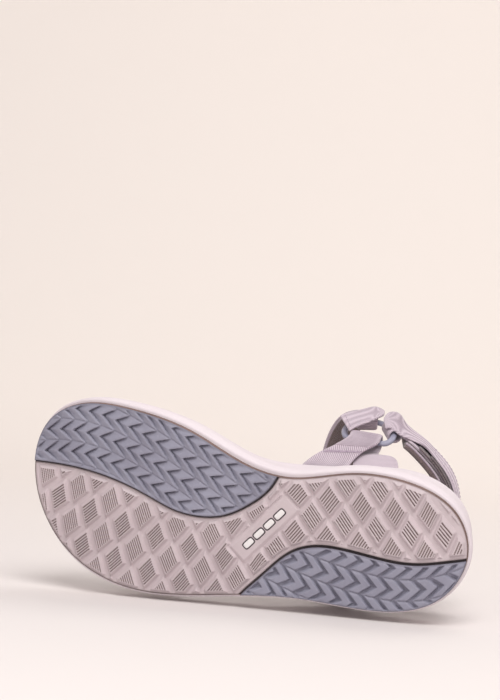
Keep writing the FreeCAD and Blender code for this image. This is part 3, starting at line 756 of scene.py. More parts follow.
# Midsole and footbed --------------------------------------------------------
WALL_LEVELS = [(-2.0, 2, -2.0), (OUTSOLE_THICK, 2, -0.9), (9.0, 2, 0.0), (17.0, 2, -1.2),
               (27.0, 3, 0.0), (46.0, 3, -0.6)]
WALL_SAMPLES = 540
WALL_TABLE = 93            # heights at which the wall's plan is worked out
WALL_ROWS = [              # share of the height, step inwards, drop
    (0.0, 6.0, 0.0), (0.0, 1.3, 0.0), (0.0, 0.55, 0.08), (0.0, 0.12, 0.45),
    *((share, 0.0, 0.0) for share in (0.05, 0.1, 0.16, 0.22, 0.28, 0.36, 0.45, 0.55, 0.65, 0.75, 0.85, 0.92)),
    (1.0, 0.05, -0.9), (1.0, 0.35, -0.32), (1.0, 0.95, -0.03), (1.0, 1.6, 0.0), (1.0, 2.6, 0.0),
    (1.0, 3.4, -0.04), (1.0, 3.8, -0.3), (1.0, 4.0, -0.9), (1.0, 4.05, -4.4)]


def make_midsole():
    levels = np.stack([outline_curve(WALL_SAMPLES, column, inset) for _, column, inset in WALL_LEVELS])
    heights = [z for z, _, _ in WALL_LEVELS]
    across_levels = Spline(levels.reshape(len(heights), -1), heights)
    table = across_levels.at(np.linspace(0, heights[-1], WALL_TABLE)).reshape(WALL_TABLE, WALL_SAMPLES, 2)
    y_line = outline_curve(WALL_SAMPLES)[:, 1]
    low, high = ground(y_line) + OUTSOLE_THICK, rim(y_line)
    k = np.arange(WALL_SAMPLES)
    rings = []
    for share, step_in, drop in WALL_ROWS:
        z = low + (high - low) * share
        f = np.clip(z * (WALL_TABLE - 1) / heights[-1], 0, WALL_TABLE - 1.001)
        i = f.astype(int)
        p = table[i, k] * (1 - (f - i))[:, None] + table[i + 1, k] * (f - i)[:, None]
        rings.append(np.column_stack([p - outward_of(p) * step_in, z + drop]))
    points = np.stack(rings, 1).reshape(-1, 3)
    quads = grid_faces(WALL_SAMPLES, len(rings), close_rows=True)
    place(make_mesh("midsole_foam", points, quads, FOAM), "sole", "midsole_foam", "midsole")


COVER_LINE = outline_curve(360, 3, FOOTBED_INSET - 0.15)
FOOTBED_EDGE = inside_field(COVER_LINE)


def cover_height(x, y):
    """Top cover: gently dished, with a pressed line near its edge and rows of small raised dots."""
    d = sample(FOOTBED_EDGE, x, y)
    dish = 0.9 * smooth(2.0, 26.0, d)
    groove = 0.35 * np.exp(-((d - 3.4) / 0.55) ** 2)
    pattern = np.cos(2 * np.pi * (x + y) / 5.2) * np.cos(2 * np.pi * (x - y) / 5.2)
    dots = 0.22 * smooth(0.45, 0.8, pattern) * smooth(5.0, 7.0, d)
    return rim(y) - COVER_TOP - dish - groove + dots - edge_drop(d, 0.6)


def make_cover():
    step = 0.6
    points, quads = plan_patch(lambda x, y: sample(FOOTBED_EDGE, x, y), step, cover_height, flip=False)
    piece = make_mesh("footbed_topcover_textile", points, quads, TOPCOVER, uv=points[:, :2])
    place(piece, "sole", "topcover_textile", "footbed_topcover")
    wall = swept_wall(COVER_LINE, [(0.0, lambda y: rim(y) - 0.95), (0.0, lambda y: rim(y) - RECESS_DEPTH)])
    edge = make_mesh("footbed_edge", *wall, FOAM)
    place(edge, "sole", "footbed_foam", "footbed")


# Bands ----------------------------------------------------------------------
class Strip:
    """Cross lines of a band: the edges a and b and the outward normal, one row each."""

    def __init__(self, a, b, n):
        self.a, self.b, self.n = (np.array(v, float) for v in (a, b, n))

    def __getitem__(self, rows):
        return Strip(self.a[rows], self.b[rows], self.n[rows])

    def __add__(self, other):
        pairs = ((self.a, other.a), (self.b, other.b), (self.n, other.n))
        return Strip(*(np.vstack(pair) for pair in pairs))

    def moved(self, distance, trim_a=0.0, trim_b=0.0, turn=1):
        width, shift = unit(self.b - self.a), self.n * distance
        return Strip(self.a + width * trim_a + shift, self.b - width * trim_b + shift, self.n * turn)

    def fine(self, step, ends=()):
        """The band resampled about every step, with the distance along it."""
        middle = Spline((self.a + self.b) / 2)
        count = max(int(round(middle.end / step)), 3) + 1
        s = np.concatenate([np.linspace(0, middle.end, count), ends, middle.end - np.array(ends)])
        s = np.unique(np.round(s[(s >= 0) & (s <= middle.end)], 4))
        a, b, n = (Spline(v, middle.steps).at(s) for v in (self.a, self.b, self.n))
        return Strip(a, b, unit(n)), s


def guide_strip(edge_a, edge_b, count, outward):
    """Strip between two edges given by points; outward is the outer side half way along it."""
    edge_a, edge_b = np.array(edge_a, float), np.array(edge_b, float)
    steps = Spline((edge_a + edge_b) / 2).steps
    u = np.linspace(0, steps[-1], count)
    nudge = steps[-1] * 1e-4
    lines = [Spline(edge, steps) for edge in (edge_a, edge_b)]
    a, b = (curve.at(u) for curve in lines)
    along = sum(unit(curve.at(u + nudge) - curve.at(u - nudge)) for curve in lines)
    n = unit(np.cross(along, b - a))
    middle = count // 2
    return Strip(a, b, n * (1 if n[middle] @ np.array(outward((a + b)[middle] / 2)) > 0 else -1))


def ribbon(name, strip, low, high, material, steps, pattern=None, trims=(0.0, 0.0), ends=0.8):
    """Band with rounded edges and ends from offset low to high; steps are along and across it."""
    fine, s = strip.moved(0, *trims).fine(steps[0], ends=np.array([0.04, 0.15, 0.35, 0.6]) * ends)
    width = np.linalg.norm(fine.b - fine.a, axis=1)
    half = (high - low) / 2
    t = np.linspace(0, 1, max(int(round(width.max() / steps[1])), 4) + 1)
    turn = np.linspace(0, np.pi, 8)[1:-1]
    share = np.concatenate([t, np.ones(6), t[::-1], np.zeros(6)])
    bulge = np.concatenate([t * 0, np.sin(turn), t * 0, -np.sin(turn)])
    level = np.concatenate([t * 0 + 1, np.cos(turn), t * 0 - 1, -np.cos(turn)])
    flat = np.abs(level) == 1
    edge = np.clip(np.minimum(s, s[-1] - s) / ends, 0, 1)
    fade = np.sqrt(np.maximum(1 - (1 - edge) ** 2, 0))
    across = half + share * (width[:, None] - 2 * half) + bulge * half * fade[:, None]
    height = (low + high) / 2 + level * half * fade[:, None]
    middle = across - width[:, None] / 2
    if pattern is not None:
        rise = pattern(middle, s[:, None] + 0 * middle) * fade[:, None]
        rim_fade = smooth(0, 0.12, np.minimum(share, 1 - share)) * flat
        height = height + np.where(flat, np.sign(level), 0) * rise * (0.25 + 0.75 * rim_fade)
    side = unit(fine.b - fine.a)
    points = (fine.a[:, None] + side[:, None] * across[..., None] + fine.n[:, None] * height[..., None])
    points = points.reshape(-1, 3)
    quads = outward_faces(points, grid_faces(len(s), len(share), close_columns=True))
    uv = np.stack([middle.ravel(), np.repeat(s, len(share))], 1)
    return make_mesh(name, points, quads, material, uv=uv)


def tube(strip, edge, inset, low, high, half_width, material, name, step=0.5):
    """Rounded binding that follows one edge of a strip, between two offsets."""
    fine, s = strip.fine(step)
    side = unit(fine.b - fine.a)
    start, inwards = (fine.a, side) if edge == "a" else (fine.b, -side)
    angle = np.linspace(0, 2 * np.pi, 16, endpoint=False)
    across = inset + half_width * np.cos(angle)
    height = (low + high) / 2 + (high - low) / 2 * np.sin(angle)
    taper = np.ones(len(s))
    taper[[0, -1]] = 0.2
    middle, taper = (low + high) / 2, taper[:, None]
    points = (start[:, None] + inwards[:, None] * (inset + (across - inset) * taper)[..., None]
              + fine.n[:, None] * (middle + (height - middle) * taper)[..., None])
    points = points.reshape(-1, 3)
    quads = outward_faces(points, grid_faces(len(s), len(angle), close_columns=True))
    uv = np.stack([np.tile(angle * half_width, len(s)), np.repeat(s, len(angle))], 1)
    return make_mesh(name, points, quads, material, uv=uv)


STITCH_LIFT = 0.05           # of a thread's ends above the webbing
STITCH_ARCH = 0.08           # of its middle above its ends
STITCH_PITCH, STITCH_LENGTH = 2.3, 1.7


def stitch_parts(ends_a, ends_b, normals, radius=0.24):
    """Small threads from each point of ends_a to ends_b, lying on a surface."""
    parts = []
    along = np.linspace(-1, 1, 6)
    angle = np.linspace(0, 2 * np.pi, 6, endpoint=False)
    round_off = np.sqrt(np.maximum(1 - np.abs(along) ** 5, 0.02))
    for a, b, n in zip(ends_a, ends_b, normals):
        forward = unit(b - a)
        side = unit(np.cross(n, forward))
        middle, half = (a + b) / 2, np.linalg.norm(b - a) / 2
        lift = n * (STITCH_ARCH * (1 - along ** 2))[:, None]
        line = middle + forward * (along * half)[:, None] + lift
        rings = (line[:, None] + (side * np.cos(angle)[:, None] + n * np.sin(angle)[:, None])[None]
                 * (radius * round_off)[:, None, None])
        parts.append((rings.reshape(-1, 3), grid_faces(6, 6, close_columns=True)))
    return parts


def surface_points(strip, s, across, height):
    """Points on a strip at distances along it, across from edge a, and above its middle surface."""
    fine, grid = strip.fine(0.4)
    a, b, n = (np.stack([np.interp(s, grid, v[:, k]) for k in range(3)], 1) for v in (fine.a, fine.b, fine.n))
    return a + unit(b - a) * np.reshape(across, (-1, 1)) + n * height, unit(n)


def seam(strip, start, end):
    """Row of stitches between two (along, across) places on a strip."""
    start, end = np.array(start, float), np.array(end, float)
    count = max(int(np.linalg.norm(end - start) / STITCH_PITCH), 1)
    f = (np.arange(count) + 0.5) / count
    half = 0.5 * STITCH_LENGTH / max(np.linalg.norm(end - start), 1e-6)
    places = [start + (end - start) * (f + shift)[:, None] for shift in (-half, half)]
    (a, n), (b, _) = (surface_points(strip, p[:, 0], p[:, 1], WEBBING + STITCH_LIFT) for p in places)
    return stitch_parts(a, b, n)


def stitching(name, parts, body):
    points, quads = joined(parts)
    piece = make_mesh(name, points, quads, THREAD)
    return place(piece, body, "stitching")


def cross_ribs(w, s):
    return 0.19 * np.cos(2 * np.pi * s / RIB_PITCH)


def twill_ribs(w, s):
    return 0.17 * np.cos(2 * np.pi * TWILL_SLANT * (s + w) / TWILL_PITCH)


def long_ribs(w, s):
    """Lengthwise ribs that follow both edges, and draw together where the band is narrow."""
    half = np.maximum(np.abs(w).max(axis=1, keepdims=True), 0.5)
    count = max(round(2 * half.max() / 1.15), 4)
    clear = smooth(0.5, 0.8, 2 * half / count)
    return 0.16 * clear * np.cos(np.pi * count * w / half)


CROSS, LONG = (WEB_CROSS, cross_ribs), (WEB_LONG, long_ribs)


def webbing_piece(name, strip, steps, weave, body, *nodes, trims=(0.0, 0.0)):
    piece = ribbon(name + "_webbing", strip, 0, WEBBING, weave[0], steps, weave[1], trims)
    return place(piece, body, "webbing", *nodes)


def fuzz(seed, size):
    """Uneven pile of a brushed surface, the same on every run."""
    def pattern(w, s):
        rng = np.random.default_rng(seed)
        return rng.normal(0.0, size, w.shape)
    return pattern


# Rings and side straps ------------------------------------------------------
REAR = np.array([0.0, 1.0, 0.0])


class RingFrame:
    """Directions of one D-ring; side is +1 for medial and -1 for lateral."""

    def __init__(self, side):
        self.side = side
        self.centre = np.array([side * RING_CENTRE[0], RING_CENTRE[1], RING_CENTRE[2]])
        self.up = np.array([side * math.sin(RING_LEAN), 0, math.cos(RING_LEAN)])
        self.out = np.array([side * math.cos(RING_LEAN), 0, -math.sin(RING_LEAN)])

    def at(self, rear, up, out=0.0):
        return self.centre + REAR * rear + self.up * up + self.out * out

    def radial(self, angle):
        return REAR * math.cos(math.radians(angle)) + self.up * math.sin(math.radians(angle))

    def tangent(self, angle):
        return self.up * math.cos(math.radians(angle)) - REAR * math.sin(math.radians(angle))


MEDIAL, LATERAL = RingFrame(1), RingFrame(-1)


def hairpin(ring, tube_centre, radial, tangent, width, turns=9):
    """Cross lines round the ring's section, from the outer side through the hole to the inner side."""
    angle = np.linspace(0, np.pi, turns)[:, None]
    n = ring.out * np.cos(angle) - radial * np.sin(angle)
    middle = tube_centre + n * LOOP_GAP
    return Strip(middle - tangent * width / 2, middle + tangent * width / 2, n)


def ring_loop(ring, angle, width, turn=1):
    radial = ring.radial(angle)
    return hairpin(ring, ring.centre + radial * RING_RADIUS, radial, ring.tangent(angle) * turn, width)


BAR_LOOP_WIDTH = 18.0
TAIL_Z = 14.0
SIDE_BASES = {
    1: (((28.4, 24), (32.0, 50)), ((31.0, 51), (34.6, 78))),
    -1: (((-36.6, 24), (-35.4, 50)), ((-33.2, 51), (-32.0, 78))),
}


def side_strap_strips(ring):
    side = ring.side
    half = BAR_LOOP_WIDTH / 2

    def leg(base, high, gap):
        edges = []
        for (x, y), (high_x, high_y, high_z), rear in zip(base, high, (-half, half)):
            edges.append([(x, y, TAIL_Z), (x, y, 24), (x + side * 0.4, y, 31),
                          (side * high_x, high_y, high_z),
                          ring.at(rear, RING_BAR - 6, gap), ring.at(rear, RING_BAR - 1.5, gap)])
        return edges

    front_base, rear_base = SIDE_BASES[side]
    front_a, front_b = leg(front_base, ((37.5, 33, 41), (40.5, 56, 42)), LOOP_GAP)
    rear_a, rear_b = leg(rear_base, ((36.0, 50, 42), (41.0, 73.4, 41)), -LOOP_GAP)
    loop = hairpin(ring, ring.at(0, RING_BAR), ring.up * -1, REAR, BAR_LOOP_WIDTH)
    front = guide_strip(front_a, front_b, 17, lambda point: (side, 0, -0.2))
    rear = guide_strip(rear_a[::-1], rear_b[::-1], 17, lambda point: (-side, 0, 0.2))
    return front, loop, rear


def bartack(leg, height, inset=2.2, pitch=0.42, length=2.3):
    """Dense bar of threads laid side by side across a leg of webbing; leg is a short strip."""
    fine, s = leg.fine(0.5)
    width = np.linalg.norm(fine.b[0] - fine.a[0])
    across = np.arange(inset, width - inset, pitch)
    wobble = 0.18 * np.cos(np.arange(len(across)) * 2.4)
    starts, n = surface_points(leg, s[-1] / 2 - length / 2 + wobble, across, height)
    stops, _ = surface_points(leg, s[-1] / 2 + length / 2 + wobble, across + 0.15, height)
    return stitch_parts(starts, stops, n, 0.26)


def make_side_straps():
    bars = []
    for name, ring in (("medial_side_strap", MEDIAL), ("lateral_side_strap", LATERAL)):
        front, loop, rear = side_strap_strips(ring)
        whole = front + loop + rear
        change = Spline((front.a + front.b) / 2).end - 4.0

        def weave(w, s):
            share = smooth(change - 1.0, change + 1.0, s)
            return twill_ribs(w, s) * (1 - share) + cross_ribs(w, s) * share

        piece = webbing_piece(name, whole, (0.26, 0.4), (WEB_CROSS, weave), "sole", name)
        piece.data.materials.append(WEB_TWILL)
        along = np.zeros(len(piece.data.loops) * 2)
        piece.data.uv_layers[0].data.foreach_get("uv", along)
        first_loop = np.zeros(len(piece.data.polygons), int)
        piece.data.polygons.foreach_get("loop_start", first_loop)
        index = (along.reshape(-1, 2)[first_loop, 1] / UV_SCALE < change).astype(np.int32)
        piece.data.polygons.foreach_set("material_index", index)
        fold = ribbon(name + "_fold", front[12:].moved(WEBBING - 0.3), 0, 0.9, WEB_CROSS, (0.26, 0.6),
                      cross_ribs, (0.25, 0.25))
        place(fold, "sole", "webbing")
        for leg in (front[9:12], rear[5:8]):
            bars += bartack(leg, WEBBING + 0.15)
    piece = make_mesh("side_strap_bartack_threads", *joined(bars), THREAD)
    place(piece, "sole", "stitching", "side_strap_bartacks")


# Straps from ring to ring ---------------------------------------------------
def edges_of(pairs):
    return [[pair[k] for pair in pairs] for k in (0, 1)]


def both_sides(half):
    """Edges of a whole strap from its medial half, whose last pair lies on x = 0."""
    flip = np.array([-1.0, 1.0, 1.0])
    edges = []
    for k in (0, 1):
        first = np.array([pair[k] for pair in half], float)
        edges.append(np.vstack([first, (first[:-1] * flip)[::-1]]))
    return edges


def sewn_end(loop, body):
    return body[1:5].moved(WEBBING + LAYER_GAP)[::-1] + loop


def ring_to_ring(medial_loop, body, lateral_loop):
    return medial_loop + body.moved(WEBBING, turn=-1) + lateral_loop[::-1]


def tab_strip(ring, loop, body, low):
    start = loop[:1]
    away = unit((start.a[0] + start.b[0]) / 2 - ring.centre) * TAB_START
    return Strip(start.a + away, start.b + away, start.n) + body.moved(low)


TAPE_LOW = WEBBING + LAYER_GAP
HOOK_LOW = TAPE_LOW + TAPE + LAYER_GAP
TAB_LOW = HOOK_LOW + TAPE + LAYER_GAP

# Each strap is a row of cross lines, lower or toe-side edge first. Indexes into a body count its cross
# lines from the medial ring. HEEL_HALF has an upper edge of its own, up to 3 mm off the CAD's.
HEEL_HALF = [
    ((46.6, 74.0, 62.0), (48.6, 66.5, 90.0)),
    ((45.0, 79.0, 59.8), (44.4, 72.6, 89.8)),
    ((40.2, 86.2, 58.8), (39.2, 80.0, 89.0)),
    ((33.6, 93.8, 58.5), (32.6, 89.2, 88.3)),
    ((24.8, 100.6, 58.5), (24.6, 97.2, 88.0)),
    ((12.8, 105.2, 58.5), (12.8, 102.2, 88.0)),
    ((0.0, 106.8, 58.5), (0.0, 103.6, 88.0)),
]
INSTEP_TAIL = [      # the folded-back end, bunched at the ring and opening out: lower edge, upper edge
    ((56.2, 59.6, 73.2), (57.6, 58.8, 77.4)),
    ((54.4, 56.2, 67.6), (58.4, 54.2, 79.8)),
    ((52.0, 50.8, 60.4), (57.2, 47.8, 76.4)),
    ((50.2, 47.0, 55.0), (55.2, 41.0, 70.4)),
    ((48.6, 44.6, 50.6), (53.3, 35.6, 64.4)),
]
HEEL_FAN = [         # the tab fans out from the ring: lower edge, upper edge
    ((50.4, 63.2, 62.6), (54.6, 60.4, 69.0)),
    ((51.3, 65.8, 62.6), (57.6, 61.2, 74.6)),
    ((49.4, 69.6, 62.3), (57.6, 65.6, 79.5)),
    ((48.0, 73.5, 61.8), (52.6, 69.0, 84.0)),
]
INSTEP_HALF = [
    ((50.4, 43.6, 79.0), (50.0, 54.0, 83.0)),
    ((53.2, 42.6, 84.6), (49.6, 52.5, 91.5)),
    ((52.2, 38.6, 88.2), (45.8, 47.5, 98.6)),
    ((48.4, 32.2, 91.2), (39.8, 41.2, 105.4)),
    ((40.5, 26.8, 95.0), (32.5, 37.0, 110.5)),
    ((29.5, 23.0, 98.5), (23.0, 37.6, 113.5)),
    ((15.0, 20.8, 100.6), (12.0, 39.5, 114.8)),
    ((0.0, 20.2, 101.2), (0.0, 40.2, 115.2)),
]
FOREFOOT_EDGES = [
    ((46.5, -80.0, 13.0), (44.5, -56.0, 13.0)),
    ((47.5, -79.5, 22.0), (45.0, -54.5, 22.0)),
    ((46.0, -78.0, 34.0), (43.5, -52.0, 36.0)),
    ((36.5, -75.0, 47.5), (34.5, -49.0, 52.0)),
    ((20.0, -71.0, 55.5), (19.0, -45.5, 61.5)),
    ((1.0, -67.0, 57.5), (0.5, -42.0, 63.5)),
    ((-18.0, -63.5, 53.5), (-18.0, -38.5, 59.0)),
    ((-34.0, -60.5, 43.5), (-33.0, -35.5, 48.0)),
    ((-43.5, -58.0, 31.0), (-41.5, -33.5, 34.0)),
    ((-46.5, -57.0, 22.0), (-43.5, -32.5, 22.0)),
    ((-46.0, -57.0, 13.0), (-43.0, -32.5, 13.0)),
]


def tape_piece(strap, kind, strip, trims, body, seed):
    """Loop or hook tape of a strap."""
    material, low = {"loop": (LOOP, TAPE_LOW), "hook": (HOOK, HOOK_LOW)}[kind]
    piece = ribbon(f"{strap}_{kind}_tape", strip, low, low + TAPE, material, (0.45, 0.45), fuzz(seed, 0.13),
                   trims, ends=0.4)
    place(piece, body, kind + "_tape", f"{strap}_{kind}_patch")


def pad_piece(name, node, strip, low, trims, body):
    """Foam pad with a brushed lining and a light bound edge all along both sides."""
    piece = ribbon(name, strip, low, -LAYER_GAP, LINING, (0.8, 0.6), fuzz(17, 0.05), trims, ends=1.5)
    place(piece, body, "lining", node)
    for edge in "ab":
        bound = tube(strip.moved(0, *trims), edge, 0.55, -1.35, -0.05, 0.75, PIPING,
                     name + "_binding_" + edge)
        place(bound, body, "webbing")


def strip_size(strip):
    widths = np.linalg.norm(strip.b - strip.a, axis=1)
    return Spline((strip.a + strip.b) / 2).end, float(widths.min())


def sewn_down(name, strip, body, inset=2.0):
    """Two rows of stitches along a strip's edges, joined by one across each end."""
    length, width = strip_size(strip)
    last, far = length - inset, width - inset
    rows = (((inset, inset), (last, inset)), ((inset, far), (last, far)),
            ((inset, inset), (inset, far)), ((last, inset), (last, far)))
    stitching(name, [part for start, end in rows for part in seam(strip, start, end)], body)


def make_heel():
    lower, upper = both_sides(HEEL_HALF)
    body = guide_strip(lower, upper, 45, lambda p: (p[0], p[1] - 62, 0))
    webbing = body.moved(0, 3.0, 1.2)
    medial_loop, lateral_loop = (ring_loop(ring, 30.0, 11.5) for ring in (MEDIAL, LATERAL))
    whole = ring_to_ring(medial_loop, webbing, sewn_end(lateral_loop, webbing[::-1]))
    webbing_piece("heel_strap", whole, (0.8, 0.24), LONG, "heel_strap", "heel_strap")
    pad_piece("heel_strap_padding", "heel_strap_pad", body[1:-1], -4.2, (0.0, 0.0), "heel_strap")
    tape_piece("heel", "loop", body[4:24], (0.9, 0.9), "heel_strap", 3)
    tape_piece("heel", "hook", body[7:23], (0.9, 3.0), "heel_tab", 4)
    rest = webbing[5:25:3].moved(TAB_LOW, 2.6)
    lower, upper = edges_of(HEEL_FAN)
    tab = guide_strip(lower + list(rest.a), upper + list(rest.b), 60, lambda p: (p[0], p[1] - 62, 0))
    piece = ribbon("heel_tab_webbing", tab, 0, WEBBING, WEB_LONG, (0.7, 0.24), long_ribs, (0.4, 0.4))
    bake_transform(piece)
    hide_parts("heel_strap_tab")
    sewn_down("heel_tab_stitches", tab[24:], "heel_tab")
    sewn_down("heel_strap_stitches", webbing[::-1][1:5].moved(WEBBING + LAYER_GAP), "heel_strap", 1.6)


def make_instep():
    toe_side, shin_side = both_sides(INSTEP_HALF)
    body = guide_strip(toe_side, shin_side, 45, lambda p: (p[0], -10, max(p[2] - 84, 0)))
    medial_loop, lateral_loop = (ring_loop(ring, 108.0, 11.5, -1) for ring in (MEDIAL, LATERAL))
    whole = ring_to_ring(medial_loop, body, lateral_loop)
    webbing_piece("instep_strap", whole, (0.26, 0.8), CROSS, "instep_strap", "instep_strap")
    pad_piece("instep_strap_padding", "instep_strap_lining", body[5:-5], -2.2, (0.5, 0.5),
              "instep_strap")
    tape_piece("instep", "loop", body[24:38], (1.5, 1.5), "instep_strap", 5)
    tape_piece("instep", "hook", body[25:36], (2.2, 2.2), "instep_tab", 6)
    tab = tab_strip(LATERAL, lateral_loop, body[42:22:-1], TAB_LOW)
    webbing_piece("instep_tab", tab, (0.26, 0.8), CROSS, "instep_tab", "instep_strap_tab", trims=(0.3, 0.3))
    sewn_down("instep_tab_stitches", tab[6:], "instep_tab")
    lower, upper = edges_of(INSTEP_TAIL)
    tail = guide_strip(lower, upper, 17, lambda p: (1, 0, -0.5))
    webbing_piece("instep_tail", tail, (0.6, 0.24), LONG, "instep_strap")
    row = strip_size(tail)[0] - 2.4
    end = np.linalg.norm(tail.b[-1] - tail.a[-1])
    stitching("instep_strap_stitches", seam(tail, (row, 1.6), (row, end - 1.6)), "instep_strap")


def make_forefoot():
    toe_side, heel_side = edges_of(FOREFOOT_EDGES)
    body = guide_strip(toe_side, heel_side, 51, lambda p: (p[0], 0, p[2] - 18))
    webbing_piece("forefoot_strap", body[:33], (0.26, 1.0), CROSS, "sole", "forefoot_strap_base")
    webbing_piece("forefoot_anchor", body[44:], (0.26, 1.0), CROSS, "sole", "forefoot_strap_anchor")
    pad_piece("forefoot_strap_padding", "forefoot_strap_lining", body[6:45], -2.4, (0.5, 0.5), "sole")
    tape_piece("forefoot", "loop", body[18:33], (1.5, 1.5), "sole", 7)
    tape_piece("forefoot", "hook", body[19:31], (2.0, 2.0), "forefoot_flap", 8)
    flap = body[17:44].moved(TAB_LOW)
    webbing_piece("forefoot_flap", flap, (0.26, 1.0), CROSS, "forefoot_flap", "forefoot_strap_flap",
                  trims=(0.2, 0.2))
    sewn_down("forefoot_flap_stitches", flap[1:15], "forefoot_flap")


def make_ring(name, ring):
    """Moulded D-ring with a flattened section and a fine parting line round its outside."""
    corner = RING_CORNER
    corner_up = RING_BAR + corner
    reach = math.sqrt((RING_RADIUS - corner) ** 2 - corner_up ** 2)
    join = math.atan2(corner_up, reach)
    arc = np.linspace(join, math.pi - join, 110)
    right, left = np.linspace(-math.pi / 2, join, 24), np.linspace(math.pi - join, 1.5 * math.pi, 24)
    bar = np.linspace(-reach, reach, 24)[1:-1]
    plan = np.vstack([
        np.stack([RING_RADIUS * np.cos(arc), RING_RADIUS * np.sin(arc)], 1),
        np.stack([-reach + corner * np.cos(left), corner_up + corner * np.sin(left)], 1)[1:],
        np.stack([bar, np.full(len(bar), RING_BAR)], 1),
        np.stack([reach + corner * np.cos(right), corner_up + corner * np.sin(right)], 1)[:-1]])
    outward = outward_of(plan)
    angle = np.linspace(0, 2 * np.pi, 28, endpoint=False)
    ridge = 0.09 * np.exp(-(np.sin(angle) / 0.12) ** 2) * (np.cos(angle) > 0)
    wide = (RING_WIDE + ridge) * rounded(np.cos(angle), RING_ROUNDNESS)
    deep = RING_DEEP * rounded(np.sin(angle), RING_ROUNDNESS)
    flat = plan[:, None] + outward[:, None] * wide[:, None]
    points = (ring.centre + flat[..., :1] * REAR + flat[..., 1:] * ring.up
              + deep[:, None] * ring.out).reshape(-1, 3)
    quads = outward_faces(points, grid_faces(len(plan), len(angle), close_rows=True, close_columns=True))
    place(make_mesh(name + "_plastic", points, quads, RING), name, "ring_plastic", name)


# Stage, light and camera ----------------------------------------------------
CAMERA_PLACE = (0.31078335, 0.25364649, -1.10152092)
CAMERA_RIGHT = (0.11794111, 0.96095035, 0.25032845)
CAMERA_UP = (0.9754732, -0.15929632, 0.15191023)
CAMERA_BACK = (0.18585459, 0.22627223, -0.95616889)
LENS = 108.7413
TABLE_NORMAL = (1.0, -0.097, 0.16)
TABLE_GAP = 0.0003
SWEEP_NEAR, SWEEP_FLAT, SWEEP_RADIUS, SWEEP_TOP, SWEEP_HALF = -3.0, 0.9, 0.8, 4.0, 4.0


def make_stage():
    """One pale sheet: the table under the sandal's lateral side, curving up far behind it."""
    normal = Vector(TABLE_NORMAL).normalized()
    lowest = min(Vector(v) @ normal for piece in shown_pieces() for v in piece_points(piece))
    back = Vector(CAMERA_BACK)
    away = -(back - normal * back.dot(normal)).normalized()
    side = normal.cross(away)
    origin = normal * (lowest - TABLE_GAP)
    profile = [(SWEEP_NEAR, 0.0), (SWEEP_FLAT, 0.0)]
    profile += [(SWEEP_FLAT + SWEEP_RADIUS * math.sin(a), SWEEP_RADIUS * (1 - math.cos(a)))
                for a in np.linspace(0.1, math.pi / 2, 16)]
    profile.append((SWEEP_FLAT + SWEEP_RADIUS, SWEEP_TOP))
    points = [origin + away * u + normal * h + side * w
              for u, h in profile for w in (-SWEEP_HALF, SWEEP_HALF)]
    quads = grid_faces(len(profile), 2)
    mesh_points = np.array([tuple(p) for p in points]) / MM
    stage = make_mesh("studio_sweep", mesh_points, quads, STAGE, shift=False)
    if stage.data.polygons[0].normal.dot(normal) < 0:
        stage.data.flip_normals()
    stage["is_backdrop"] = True


def piece_points(piece):
    """The vertices of a piece, thinned where there are many."""
    count = len(piece.data.vertices)
    co = np.zeros(count * 3, np.float32)
    piece.data.vertices.foreach_get("co", co)
    return co.reshape(-1, 3)[::max(count // 20000, 1)].astype(float)


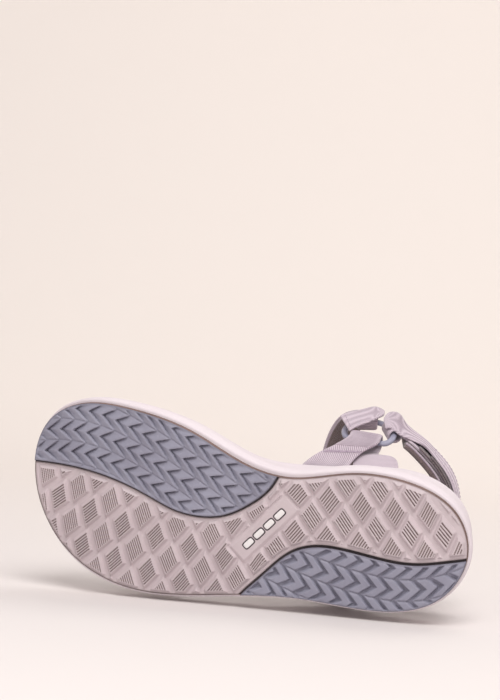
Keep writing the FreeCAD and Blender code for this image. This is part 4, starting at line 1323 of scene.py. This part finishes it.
def stage_material():
    """Pale matt paper, seen through from behind, with painted light: lighter and warmer towards the far end
    of the sweep.
    """
    s = Shade("studio paper", roughness=0.9, specular=0.1)
    away = s.node("ShaderNodeSeparateXYZ", Vector=s.place()).outputs["Z"]
    # Painted light: the paper grows lighter with Z, towards the far end of the sweep, lifting its far part.
    tint = s.ramp(s.value_ramp(away, 0.1, 1.1, 0.0, 1.0),
                  [(0.0, srgb(232, 227, 226)), (1.0, srgb(251, 244, 239))])
    s.finish(tint)
    tree = s.tree
    clear = tree.nodes.new("ShaderNodeBsdfTransparent")
    geometry = tree.nodes.new("ShaderNodeNewGeometry")
    mixer = tree.nodes.new("ShaderNodeMixShader")
    output = tree.nodes["Material Output"]
    tree.links.new(geometry.outputs["Backfacing"], mixer.inputs["Fac"])
    tree.links.new(s.shader.outputs["BSDF"], mixer.inputs[1])
    tree.links.new(clear.outputs["BSDF"], mixer.inputs[2])
    tree.links.new(mixer.outputs["Shader"], output.inputs["Surface"])
    return s.material


LIGHT_TARGET = (0, 0, 0.04)
LIGHTS = (           # name, place, side, power, colour
    ("key", (1.75, 0.3, -0.95), 1.1, 30.0, (1.0, 0.97, 0.95)),
    ("fill", (0.3, 0.2, -2.2), 1.2, 7.5, (1.0, 0.97, 0.96)),
    ("top", (1.6, 0.3, 1.2), 1.2, 8.0, (1.0, 0.98, 0.96)),
)
WORLD_COLOUR, WORLD_STRENGTH = (1.0, 0.94, 0.915, 1.0), 0.445


def area_light(name, place_at, size, power, colour):
    light = bpy.data.lights.new(name, "AREA")
    light.shape, light.size, light.size_y = "RECTANGLE", size, size
    light.energy, light.color = power, colour
    obj = bpy.data.objects.new(name, light)
    obj.location = place_at
    obj.rotation_euler = (Vector(LIGHT_TARGET) - Vector(place_at)).to_track_quat("-Z", "Y").to_euler()
    bpy.context.scene.collection.objects.link(obj)


def make_lights():
    bpy.context.scene.view_settings.view_transform = "Standard"
    world = bpy.data.worlds.new("studio")
    world.use_nodes = True
    background = world.node_tree.nodes["Background"]
    background.inputs["Color"].default_value = WORLD_COLOUR
    background.inputs["Strength"].default_value = WORLD_STRENGTH
    bpy.context.scene.world = world
    for light in LIGHTS:
        area_light(*light)


def make_camera():
    data = bpy.data.cameras.new("camera")
    data.lens, data.sensor_fit, data.sensor_width = LENS, "AUTO", 36.0
    data.clip_start, data.clip_end = 0.05, 50.0
    camera = bpy.data.objects.new("camera", data)
    matrix = Matrix((CAMERA_RIGHT, CAMERA_UP, CAMERA_BACK)).transposed().to_4x4()
    matrix.translation = Vector(CAMERA_PLACE)
    camera.matrix_world = matrix
    bpy.context.scene.collection.objects.link(camera)
    bpy.context.scene.camera = camera


STAGE = stage_material()
make_camera()
make_outsole()
make_badge()
make_midsole()
make_cover()
make_side_straps()
make_heel()
make_instep()
make_forefoot()
make_ring("medial_ring", MEDIAL)
make_ring("lateral_ring", LATERAL)
make_stage()
make_lights()
